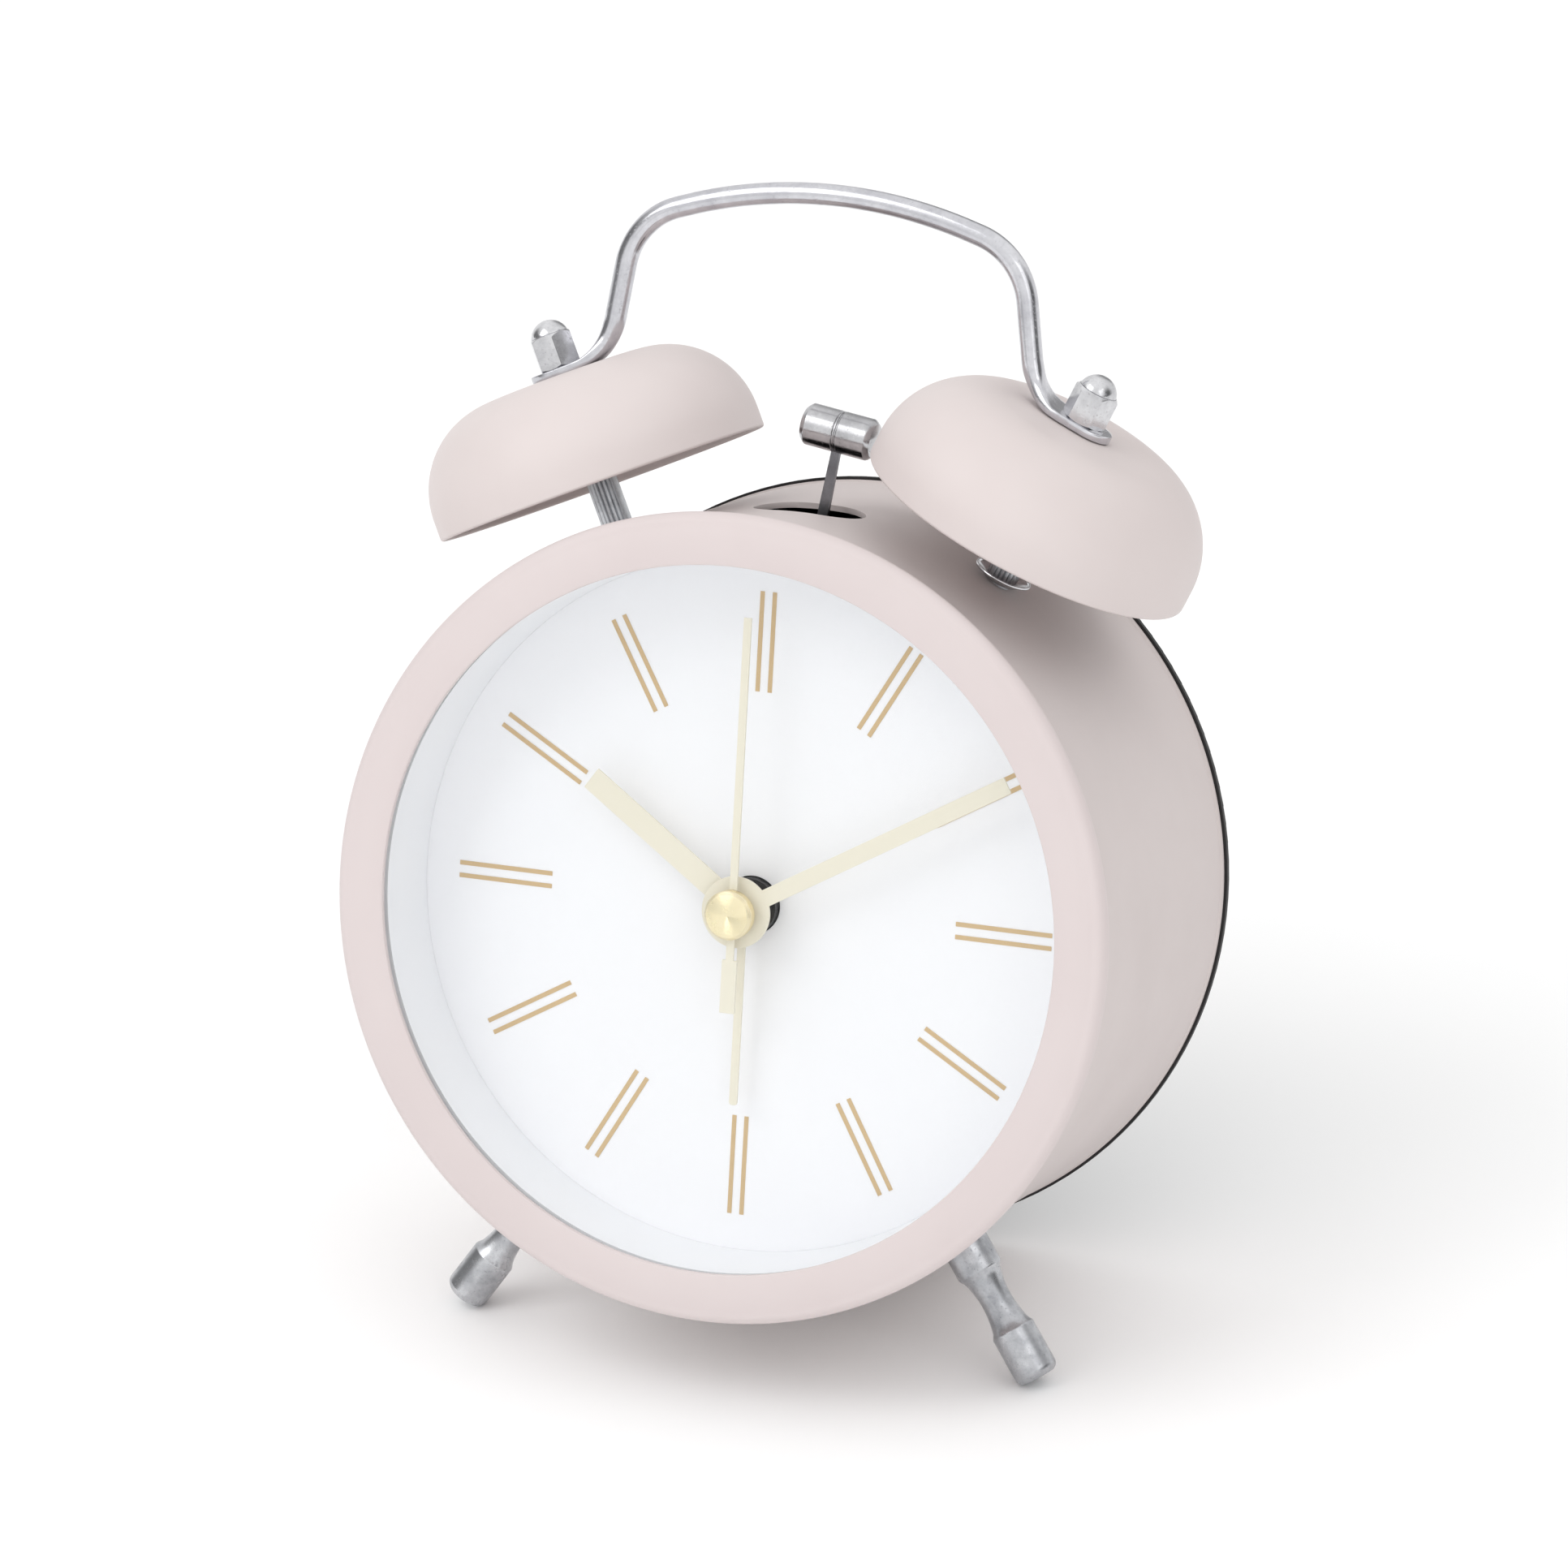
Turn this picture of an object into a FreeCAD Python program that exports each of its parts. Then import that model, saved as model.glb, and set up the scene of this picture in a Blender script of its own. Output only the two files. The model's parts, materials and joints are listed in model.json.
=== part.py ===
import FreeCAD, Part
import math
import os
import Sketcher
from FreeCAD import Placement, Rotation, Vector

# Twin-bell alarm clock. Everything is designed in the case frame, whose origin is the dial's
# centre: X to the right, Y back into the case, Z towards twelve o'clock. At the end the whole
# clock is leaned back on its two feet and the lower edge of its back cover.

doc = FreeCAD.newDocument("AlarmClock")
sheet = doc.addObject("Spreadsheet::Sheet", "Sizes")

SIZES = [
    # case drum and bezel
    ("drumRadius", 52.8, "outside of the painted steel drum"),
    ("drumWall", 0.8, "sheet thickness of the drum"),
    ("drumFront", 12.8, "drum front edge ahead of the dial"),
    ("drumBack", 44.4, "drum rear edge behind the dial"),
    ("bezelOpening", 48.2, "radius of the bezel's front opening"),
    ("bezelLip", 14.75, "bezel inner edge ahead of the dial"),
    ("beadRadius", 1.6, "roll of the bezel's outer edge"),
    ("beadOverhang", 2.4, "bezel's outer edge beyond the drum"),
    ("crownRadius", 9.2, "curve of the bezel's front face"),
    ("bezelGap", 0.1, "play between bezel groove and drum"),
    # window, dial and its support
    ("lensRadius", 50.0, "window radius"),
    ("lensWall", 1.4, "window thickness"),
    ("surroundFront", 48.4, "inner radius of the white surround at the window"),
    ("surroundBack", 47.9, "inner radius of the white surround at the dial"),
    ("seatGap", 0.05, "play between stacked plates"),
    ("dialRadius", 51.6, "dial plate radius"),
    ("dialWall", 0.8, "dial plate thickness"),
    ("dialHole", 4.0, "radius of the dial's centre hole"),
    ("markInner", 29.3, "inner end of the hour marks"),
    ("markOuter", 43.0, "outer end of the hour marks"),
    ("markOffset", 0.88, "each bar's centre line beside the radius"),
    ("markWide", 0.62, "bar width"),
    ("markThick", 0.1, "foil thickness of the marks"),
    ("carrierInner", 34.0, "inner radius of the movement carrier"),
    ("carrierWall", 2.0, "thickness of the movement carrier"),
    # hands
    ("handThick", 0.4, "sheet thickness of the hands"),
    ("alarmPlane", 3.2, "alarm hand ahead of the dial"),
    ("hourPlane", 4.7, "hour hand ahead of the dial"),
    ("minutePlane", 6.1, "minute hand ahead of the dial"),
    ("secondPlane", 7.5, "second hand ahead of the dial"),
    ("hourLong", 27.4, "hour hand length"),
    ("hourWide", 3.3, "hour hand width"),
    ("minuteLong", 43.3, "minute hand length"),
    ("minuteWide", 2.35, "minute hand width"),
    ("minuteHub", 4.9, "minute hand disc radius"),
    ("secondLong", 40.4, "second hand length"),
    ("secondWide", 1.1, "second hand width"),
    ("tailStart", 6.2, "start of the second hand's counterweight"),
    ("tailEnd", 13.7, "end of the second hand's counterweight"),
    ("tailWide", 2.15, "counterweight width"),
    ("alarmLong", 27.2, "alarm hand length"),
    ("alarmWide", 1.15, "alarm hand width"),
    ("capRadius", 3.35, "radius of the turned brass cap"),
    ("capHigh", 1.9, "height of the turned brass cap"),
    # bells, posts and nuts; stations run along the bell axis from its foot at dial height
    ("bellTilt", 24.5, "bell axis away from twelve o'clock, degrees"),
    ("bellFoot", 6.75, "bell axis beside the centre at dial height"),
    ("bellDepth", 15.3, "bell axis behind the dial"),
    ("bellStation", 58.0, "rim plane along the bell axis"),
    ("bellRadius", 23.6, "bell rim radius"),
    ("bellWall", 0.8, "bell sheet thickness"),
    ("bellSkirt", 3.0, "straight part of the bell wall"),
    ("bellShoulder", 12.8, "radius of the bell shoulder"),
    ("postRadius", 2.15, "fluted bell post"),
    ("studRadius", 1.5, "threaded ends of posts and legs"),
    ("studGap", 0.15, "play of a stud in its hole"),
    ("cupRadius", 4.1, "rim of the cup washer at the post's foot"),
    ("cupHigh", 1.2, "height of the cup washer"),
    ("cupWall", 0.4, "wall of the cup washer"),
    ("nutFlats", 5.5, "across flats of all nuts"),
    ("nutHigh", 2.4, "height of the plain nuts"),
    ("capNutHex", 4.7, "height of the cap nut's hexagon"),
    ("capNutHigh", 6.8, "height of the cap nut"),
    # handle
    ("rodRadius", 1.5, "handle rod"),
    ("tabThick", 1.2, "flattened ends of the handle"),
    ("tabWide", 6.6, "width of the flattened ends"),
    ("tabTail", 1.2, "rounded end of the flattened part beyond its hole"),
    ("handleHalf", 28.1, "half width of the handle at its shoulders"),
    ("handleLean", 8.5, "lean of the handle's sides, degrees"),
    ("handleTop", 95.45, "handle centre line above the dial centre"),
    ("crownArc", 68.0, "radius of the handle's crown"),
    ("shoulderArc", 10.5, "radius of the handle's shoulders"),
    ("footArc", 5.0, "radius of the handle's lower bends"),
    # legs
    ("legAngle", 34.5, "legs away from six o'clock, degrees"),
    ("legDepth", 7.7, "legs behind the dial"),
    ("legTop", 5.6, "length of the upper collar"),
    ("legNeck", 8.9, "length of the waisted neck"),
    ("legFoot", 7.5, "length of the foot with its rounded end"),
    ("legRadius", 3.25, "collar radius"),
    ("neckArc", 9.9, "radius of the neck's hollow"),
    ("footRadius", 3.1, "foot radius"),
    ("footRound", 1.2, "rounding of the foot's end"),
    ("studLong", 5.4, "threaded stud inside the drum"),
    # hammer
    ("pivotHigh", 42.0, "hammer pivot above the dial centre"),
    ("pivotRadius", 1.0, "hammer pivot pin"),
    ("hammerReach", 21.7, "hammer head above its pivot"),
    ("hammerTilt", 9.0, "rest lean of the hammer, degrees"),
    ("headRadius", 2.9, "hammer head radius"),
    ("headLong", 9.0, "straight length of the hammer head"),
    ("headNose", 0.6, "chamfered nose at each end"),
    ("armWide", 1.5, "hammer arm width"),
    ("armThick", 0.8, "hammer arm thickness"),
    ("slotHalf", 7.9, "half length of the hammer slot"),
    ("slotWide", 9.4, "width of the hammer slot"),
    ("slotDepth", 14.2, "centre of the hammer slot behind the dial"),
    ("runGap", 0.05, "radial play of shafts in their bores"),
    # striker motor
    ("motorHigh", 34.0, "motor axis above the dial centre"),
    ("motorRadius", 7.6, "motor can radius"),
    ("motorLong", 18.0, "motor can length"),
    ("crankThrow", 2.0, "crank pin off the motor axis"),
    ("plateWall", 1.0, "striker plate thickness"),
    # movement
    ("boxHalf", 28.0, "half side of the movement housing"),
    ("boxWall", 1.4, "wall of the movement housing"),
    ("boxDeep", 14.5, "depth of the movement's front housing"),
    ("lidWall", 1.5, "thickness of the movement's rear plate"),
    ("bushRadius", 3.85, "movement's centre bush"),
    ("wheelThick", 1.0, "gear thickness"),
    ("layerPitch", 1.6, "spacing of the gear layers"),
    ("bridgeWall", 0.7, "thickness of the bridge between the trains"),
    ("shaftRadius", 0.55, "second shaft"),
    ("tubeWall", 0.52, "wall of the nested hand tubes"),
    ("tubeGap", 0.08, "radial play between the nested tubes"),
    ("trainReach", 7.2, "centre distance of the going train"),
    ("motionReach", 6.0, "centre distance of the motion work"),
    ("rotorReach", 7.0, "rotor above the idler"),
    ("knobReach", 13.5, "setting knobs beside the centre"),
    # back cover
    ("coverRadius", 53.4, "back cover rim"),
    ("coverWall", 1.5, "back cover thickness"),
    ("skirtDeep", 5.0, "spigot of the back cover inside the drum"),
    ("skirtWall", 1.2, "wall of that spigot"),
    ("knobRadius", 6.0, "setting knobs"),
    ("knobLong", 5.0, "setting knob length"),
    ("arborRadius", 1.2, "setting arbors"),
    ("pillarReach", 46.0, "cover pillars from the centre"),
    ("pillarRadius", 2.6, "cover pillars"),
    ("screwRadius", 1.2, "cover and movement screws"),
    ("screwHead", 2.4, "screw head radius"),
    ("switchHigh", 24.0, "alarm switch above the centre"),
    ("switchTravel", 4.0, "alarm switch travel"),
    # battery bay
    ("cellRadius", 7.15, "size AA cell"),
    ("cellLong", 49.2, "cell can"),
    ("cellNub", 1.0, "cell's positive nub"),
    ("cellLow", 28.6, "cell axis below the centre"),
    ("bayHalf", 27.8, "half length of the battery bay"),
    ("bayDeep", 17.0, "depth of the battery bay"),
    ("bayWall", 1.4, "wall of the battery bay"),
    ("doorHigh", 16.4, "battery door height"),
    ("doorGap", 0.4, "gap round the battery door"),
]

for row, (alias, number, note) in enumerate(SIZES, start=1):
    sheet.set("A%d" % row, note)
    sheet.set("B%d" % row, str(number))
    sheet.setAlias("B%d" % row, alias)
doc.recompute()


class Term:
    """A number with the spreadsheet expression that gives it."""

    def __init__(self, number, text):
        self.number = number
        self.text = text

    def __float__(self):
        return float(self.number)

    def __neg__(self):
        return Term(-self.number, "(0 - %s)" % self.text)

    def __add__(self, other):
        return Term(self.number + number_of(other), "(%s + %s)" % (self.text, text_of(other)))

    def __sub__(self, other):
        return Term(self.number - number_of(other), "(%s - %s)" % (self.text, text_of(other)))

    def __mul__(self, other):
        return Term(self.number * number_of(other), "(%s * %s)" % (self.text, text_of(other)))

    def __truediv__(self, other):
        return Term(self.number / number_of(other), "(%s / %s)" % (self.text, text_of(other)))

    def __radd__(self, other):
        return term(other) + self

    def __rsub__(self, other):
        return term(other) - self

    def __rmul__(self, other):
        return term(other) * self


def term(value):
    return value if isinstance(value, Term) else Term(float(value), "%.9g" % value)


def number_of(value):
    return term(value).number


def text_of(value):
    return term(value).text


class SheetSizes:
    """Reads the sheet, so that size.drumRadius is the Term of that cell."""

    def __getattr__(self, alias):
        return Term(float(sheet.get(alias)), "Sizes." + alias)


size = SheetSizes()
X_AXIS, Y_AXIS, Z_AXIS = Vector(1, 0, 0), Vector(0, 1, 0), Vector(0, 0, 1)
HOME = Placement()
nodes = []  # every exported sub-part with its place in the case frame


# ---------------------------------------------------------------- drawing helpers

def new_body(label):
    body = doc.addObject("PartDesign::Body", label)
    body.Label = label
    return body


def keep(part, place=HOME):
    """Marks a sub-part for export, at its place in the case frame."""
    nodes.append((part, place))
    return part


def origin_feature(body, role):
    return [f for f in body.Origin.OriginFeatures if f.Role == role][0]


def new_sketch(body, role, offset=None):
    sketch = body.newObject("Sketcher::SketchObject", "Outline")
    sketch.AttachmentSupport = [(origin_feature(body, role), "")]
    sketch.MapMode = "FlatFace"
    if offset is not None:
        sketch.AttachmentOffset = Placement(Vector(0, 0, number_of(offset)), Rotation())
        sketch.setExpression("AttachmentOffset.Base.z", text_of(offset))
    return sketch


def add_loop(sketch, steps):
    """Draws a closed loop. A step is (x, y), or (x, y, radius, side) where an arc ends.

    The side is 1 where the arc's centre lies to the left of the way, -1 to the right.
    """
    base = sketch.GeometryCount
    count = len(steps)
    points = [Vector(number_of(s[0]), number_of(s[1]), 0) for s in steps]

    def ends_here(index):
        return steps[(index + 1) % count]

    def tip(index, at_end):
        backwards = len(ends_here(index)) > 2 and ends_here(index)[3] < 0
        return (2 if at_end else 1) if not backwards else (1 if at_end else 2)

    for index in range(count):
        start, end, step = points[index], points[(index + 1) % count], ends_here(index)
        if len(step) == 2:
            sketch.addGeometry(Part.LineSegment(start, end), False)
            continue
        radius, side = number_of(step[2]), step[3]
        chord = end - start
        rise = math.sqrt(max(radius ** 2 - chord.Length ** 2 / 4, 0))
        centre = (start + end) * 0.5 + Vector(-chord.y, chord.x, 0).normalize() * rise * side
        first, last = (start, end) if side > 0 else (end, start)
        angles = [math.atan2(p.y - centre.y, p.x - centre.x) for p in (first, last)]
        sketch.addGeometry(Part.ArcOfCircle(Part.Circle(centre, Z_AXIS, radius), *angles), False)
    for index in range(count):
        follower = (index + 1) % count
        sketch.addConstraint(Sketcher.Constraint(
            "Coincident", base + index, tip(index, True), base + follower, tip(follower, False)))
    for index in range(count):
        for kind, value in zip(("DistanceX", "DistanceY"), steps[index][:2]):
            number = sketch.addConstraint(Sketcher.Constraint(
                kind, -1, 1, base + index, tip(index, False), number_of(value)))
            sketch.setExpression("Constraints[%d]" % number, text_of(value))
        if len(ends_here(index)) > 2:
            radius = ends_here(index)[2]
            number = sketch.addConstraint(
                Sketcher.Constraint("Radius", base + index, number_of(radius)))
            sketch.setExpression("Constraints[%d]" % number, text_of(radius))


def add_circle(sketch, x, y, radius):
    index = sketch.GeometryCount
    centre = Vector(number_of(x), number_of(y), 0)
    sketch.addGeometry(Part.Circle(centre, Z_AXIS, number_of(radius)), False)
    for kind, value in (("DistanceX", x), ("DistanceY", y)):
        number = sketch.addConstraint(Sketcher.Constraint(kind, -1, 1, index, 3, number_of(value)))
        sketch.setExpression("Constraints[%d]" % number, text_of(value))
    number = sketch.addConstraint(Sketcher.Constraint("Radius", index, number_of(radius)))
    sketch.setExpression("Constraints[%d]" % number, text_of(radius))


def rectangle(left, right, low, high):
    return [(left, low), (right, low), (right, high), (left, high)]


def turn(body, steps):
    """Adds the solid of an outline (radius, depth) turned about the Y axis."""
    sketch = new_sketch(body, "XY_Plane")
    add_loop(sketch, steps)
    feature = body.newObject("PartDesign::Revolution", "Turned")
    feature.Profile = sketch
    feature.ReferenceAxis = (sketch, ["V_Axis"])
    feature.Angle = 360
    sketch.Visibility = False
    return feature


def pad(body, loops, front, back, circles=()):
    """Pads outlines drawn in X and Z from the front depth to the back depth."""
    sketch = new_sketch(body, "XZ_Plane", -term(back))
    for steps in loops:
        add_loop(sketch, steps)
    for circle in circles:
        add_circle(sketch, *circle)
    feature = body.newObject("PartDesign::Pad", "Padded")
    feature.Profile = sketch
    feature.Length = number_of(back) - number_of(front)
    feature.setExpression("Length", text_of(term(back) - term(front)))
    sketch.Visibility = False
    return feature


def place_tool(tool, base, axis, spin=0):
    pointing = Rotation(Z_AXIS, axis).multiply(Rotation(Z_AXIS, spin))
    tool.Placement = Placement(Vector(*[number_of(v) for v in base]), pointing)
    for letter, value in zip("xyz", base):
        if isinstance(value, Term):
            tool.setExpression("Placement.Base." + letter, value.text)


def rod(body, radius, length, base, axis=Y_AXIS, cut=False):
    """Adds or cuts a cylinder from a base point along an axis."""
    kind = "Subtractive" if cut else "Additive"
    tool = body.newObject("PartDesign::%sCylinder" % kind, "Rod")
    for name, value in (("Radius", radius), ("Height", length)):
        setattr(tool, name, number_of(value))
        tool.setExpression(name, text_of(value))
    place_tool(tool, base, axis)
    return tool


def block(body, low, high, cut=False):
    """Adds or cuts a box between two corners."""
    kind = "Subtractive" if cut else "Additive"
    tool = body.newObject("PartDesign::%sBox" % kind, "Block")
    for name, first, last in zip(("Length", "Width", "Height"), low, high):
        setattr(tool, name, number_of(last) - number_of(first))
        tool.setExpression(name, text_of(term(last) - term(first)))
    place_tool(tool, low, Z_AXIS)
    return tool


def hexagon(body, flats, high, station):
    """Adds a hexagonal prism standing on the Y axis."""
    tool = body.newObject("PartDesign::AdditivePrism", "Hexagon")
    tool.Polygon = 6
    for name, value in (("Circumradius", term(flats) / math.sqrt(3)), ("Height", high)):
        setattr(tool, name, number_of(value))
        tool.setExpression(name, text_of(value))
    place_tool(tool, (0, station, 0), Y_AXIS, 30)
    return tool


def around(body, feature, count, axis="Y_Axis"):
    """Repeats a feature evenly about an axis of its body."""
    pattern = body.newObject("PartDesign::PolarPattern", "Repeated")
    pattern.Originals = [feature]
    pattern.Axis = (origin_feature(body, axis), [""])
    pattern.Angle = 360
    pattern.Occurrences = count
    body.Tip = pattern
    return pattern


def round_edges(body, radius, chosen):
    """Fillets the edges of the body's last feature that the test picks."""
    doc.recompute()
    base = body.Tip
    names = ["Edge%d" % (i + 1) for i, edge in enumerate(base.Shape.Edges) if chosen(edge)]
    fillet = body.newObject("PartDesign::Fillet", "Rounded")
    fillet.Base = (base, names)
    fillet.Radius = number_of(radius)
    fillet.setExpression("Radius", text_of(radius))
    return fillet


def group(label, parts):
    """Joins identical pieces, each a solid of its own, into one sub-part."""
    compound = doc.addObject("Part::Compound", label)
    compound.Label = label
    compound.Links = parts
    return keep(compound)


def turned_to(degrees):
    """Clockwise turn about the dial's centre, as seen from the front."""
    return Placement(Vector(), Rotation(Y_AXIS, degrees))


# ---------------------------------------------------------------- case

def bell_axis(side):
    """Foot and direction of a bell's axis; side is -1 on the left and 1 on the right."""
    tilt = math.radians(float(size.bellTilt))
    foot = Vector(side * float(size.bellFoot), float(size.bellDepth), 0)
    return foot, Vector(side * math.sin(tilt), 0, math.cos(tilt))


def along(foot, direction):
    """Place of a part whose local Y axis is the given axis."""
    return Placement(foot, Rotation(Y_AXIS, direction))


def leg_axis(side):
    angle = math.radians(float(size.legAngle))
    return (Vector(0, float(size.legDepth), 0),
            Vector(side * math.sin(angle), 0, -math.cos(angle)))


def station_on(radius, foot, direction):
    """Distance along an axis at which it leaves a cylinder about the Y axis."""
    dot = foot.x * direction.x + foot.z * direction.z
    return -dot + math.sqrt(dot ** 2 + float(radius) ** 2 - foot.x ** 2 - foot.z ** 2)


def make_case_shell():
    body = new_body("case_shell")
    turn(body, rectangle(size.drumRadius - size.drumWall, size.drumRadius,
                         -size.drumFront, size.drumBack))
    deep = size.drumWall * 8
    for side in (-1, 1):
        for foot, direction in (bell_axis(side), leg_axis(side)):
            station = station_on(size.drumRadius, foot, direction) - deep.number * 0.75
            base = foot + direction * station
            rod(body, size.studRadius + size.studGap, deep, tuple(base), direction, cut=True)
    sketch = new_sketch(body, "XY_Plane")
    radius = size.slotWide / 2
    low, high = size.slotDepth - radius, size.slotDepth + radius
    half = size.slotHalf - radius
    turned_end = size.slotWide * 0.501
    add_loop(sketch, [(-half, low, turned_end, 1), (half, low), (half, high, turned_end, 1),
                      (-half, high)])
    pocket = body.newObject("PartDesign::Pocket", "HammerSlot")
    pocket.Profile = sketch
    pocket.Reversed = True
    pocket.setExpression("Length", text_of(size.drumRadius + size.drumWall))
    return keep(body)


def make_bezel_ring():
    body = new_body("bezel_ring")
    outer = size.drumRadius + size.beadOverhang
    bead = outer - size.beadRadius
    depth = -size.drumFront - size.bezelGap
    lens_back = -size.bezelLip + size.drumWall
    turn(body, [
        (size.bezelOpening, -size.bezelLip),
        (bead, depth - size.beadRadius, size.crownRadius, 1),
        (outer, depth, size.beadRadius, 1),
        (bead, depth + size.beadRadius, size.beadRadius, 1),
        (size.drumRadius + size.bezelGap, depth + size.beadRadius),
        (size.drumRadius + size.bezelGap, depth),
        (size.drumRadius - size.drumWall - size.bezelGap, depth),
        (size.drumRadius - size.drumWall - size.bezelGap, depth + size.beadRadius),
        (size.lensRadius + size.bezelGap, depth + size.beadRadius),
        (size.lensRadius + size.bezelGap, lens_back),
        (size.bezelOpening, lens_back),
    ])
    return keep(body)


def make_front_lens():
    body = new_body("front_lens")
    front = -size.bezelLip + size.drumWall + size.seatGap
    turn(body, rectangle(0, size.lensRadius, front, front + size.lensWall))
    return keep(body)


def make_dial_surround():
    body = new_body("dial_surround")
    front = -size.bezelLip + size.drumWall + size.seatGap * 2 + size.lensWall
    turn(body, [(size.surroundFront, front), (size.lensRadius, front),
                (size.lensRadius, -size.seatGap), (size.surroundBack, -size.seatGap)])
    return keep(body)


def make_dial_plate():
    body = new_body("dial_plate")
    turn(body, rectangle(size.dialHole, size.dialRadius, 0, size.dialWall))
    return keep(body)


def make_hour_markers():
    body = new_body("hour_markers")
    half = size.markWide / 2
    bars = [rectangle(side * size.markOffset - half, side * size.markOffset + half,
                      size.markInner, size.markOuter) for side in (-1, 1)]
    around(body, pad(body, bars, -size.markThick, 0), 12)
    return keep(body)


def carrier_front():
    return size.dialWall + size.seatGap


def movement_front():
    return carrier_front() + size.carrierWall + size.seatGap


def corner_screws():
    reach = size.boxHalf - size.screwHead - size.seatGap * 2
    return [(sx * reach, sz * reach) for sx in (-1, 1) for sz in (-1, 1)]


def make_movement_carrier():
    body = new_body("movement_carrier")
    front = carrier_front()
    turn(body, rectangle(size.carrierInner, size.dialRadius, front, front + size.carrierWall))
    for x, z in corner_screws():
        rod(body, size.screwRadius, size.carrierWall * 2, (x, front - 0.5, z), cut=True)
    return keep(body)


# ---------------------------------------------------------------- bells, handle and legs

def bell_top():
    return size.bellStation + size.bellSkirt + size.bellShoulder


def make_bell(label, side):
    body = new_body(label)
    rim, skirt = size.bellStation, size.bellStation + size.bellSkirt
    flat = size.bellRadius - size.bellShoulder
    hole = size.studRadius + size.studGap
    wall = size.bellWall
    turn(body, [
        (hole, bell_top() - wall),
        (flat, bell_top() - wall),
        (size.bellRadius - wall, skirt, size.bellShoulder - wall, -1),
        (size.bellRadius - wall, rim),
        (size.bellRadius, rim),
        (size.bellRadius, skirt),
        (flat, bell_top(), size.bellShoulder, 1),
        (hole, bell_top()),
    ])
    return keep(body, along(*bell_axis(side)))


def cup_station():
    """Foot of the cup washer, just clear of the drum that it sits on askew."""
    foot, direction = bell_axis(1)
    surface = station_on(size.drumRadius, foot, direction)
    normal = (foot + direction * surface)
    normal.y = 0
    skew = math.tan(normal.getAngle(direction))
    return surface + skew * float(size.cupRadius) * 0.65 + float(size.seatGap)


def make_post(label, side):
    body = new_body(label)
    low = cup_station() + size.cupWall
    high = bell_top() - size.bellWall
    turn(body, [
        (0, low - size.studLong),
        (size.studRadius, low - size.studLong),
        (size.studRadius, low),
        (size.postRadius, low),
        (size.postRadius, high),
        (size.studRadius, high),
        (size.studRadius, nut_seat() + size.capNutHex),
        (0, nut_seat() + size.capNutHex),
    ])
    return keep(body, along(*bell_axis(side)))


def make_cup(side):
    body = new_body("cup_washer_%s" % ("left" if side < 0 else "right"))
    low = cup_station()
    hole = size.studRadius + size.studGap
    seat = size.postRadius + size.studGap * 2
    turn(body, [
        (hole, low),
        (seat, low),
        (size.cupRadius, low + size.cupHigh),
        (size.cupRadius - size.cupWall, low + size.cupHigh),
        (seat, low + size.cupWall),
        (hole, low + size.cupWall),
    ])
    body.Placement = along(*bell_axis(side))
    return body


def nut_seat():
    """Station of the cap nut's foot, on the handle's flattened end."""
    return bell_top() + size.seatGap * 2 + size.tabThick


def make_cap_nut(side):
    body = new_body("cap_nut_%s" % ("left" if side < 0 else "right"))
    low = nut_seat()
    dome = size.nutFlats / 2 - size.seatGap
    rise = size.capNutHigh - size.capNutHex
    arc = (dome * dome + rise * rise) / (rise * 2)
    hexagon(body, size.nutFlats, size.capNutHex, low)
    turn(body, [(0, low + size.capNutHex), (dome, low + size.capNutHex),
                (0, low + size.capNutHigh, arc, 1)])
    rod(body, size.studRadius, size.capNutHex, (0, low, 0), cut=True)
    body.Placement = along(*bell_axis(side))
    return body


def make_nut(label, station, place):
    body = new_body(label)
    hexagon(body, size.nutFlats, size.nutHigh, station)
    rod(body, size.studRadius, size.nutHigh * 2, (0, station - 1.0, 0), cut=True)
    body.Placement = place
    return body


def arc_between(first, corner, last, radius):
    """Start, middle and end of the arc that rounds a corner of a path."""
    into, out = (first - corner).normalize(), (last - corner).normalize()
    half = into.getAngle(out) / 2
    bisector = (into + out).normalize()
    start = corner + into * (radius / math.tan(half))
    end = corner + out * (radius / math.tan(half))
    centre = corner + bisector * (radius / math.sin(half))
    return start, centre - bisector * radius, end


def rod_section(centre, up, half_wide, half_thick):
    """Many-sided oval section of the handle rod, from round to hammered flat."""
    corners = []
    for step in range(24):
        angle = math.radians(7.5 + 15 * step)
        corners.append(centre + Y_AXIS * (half_wide * math.cos(angle))
                       + up * (half_thick * math.sin(angle)))
    return Part.makePolygon(corners + corners[:1])


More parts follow.
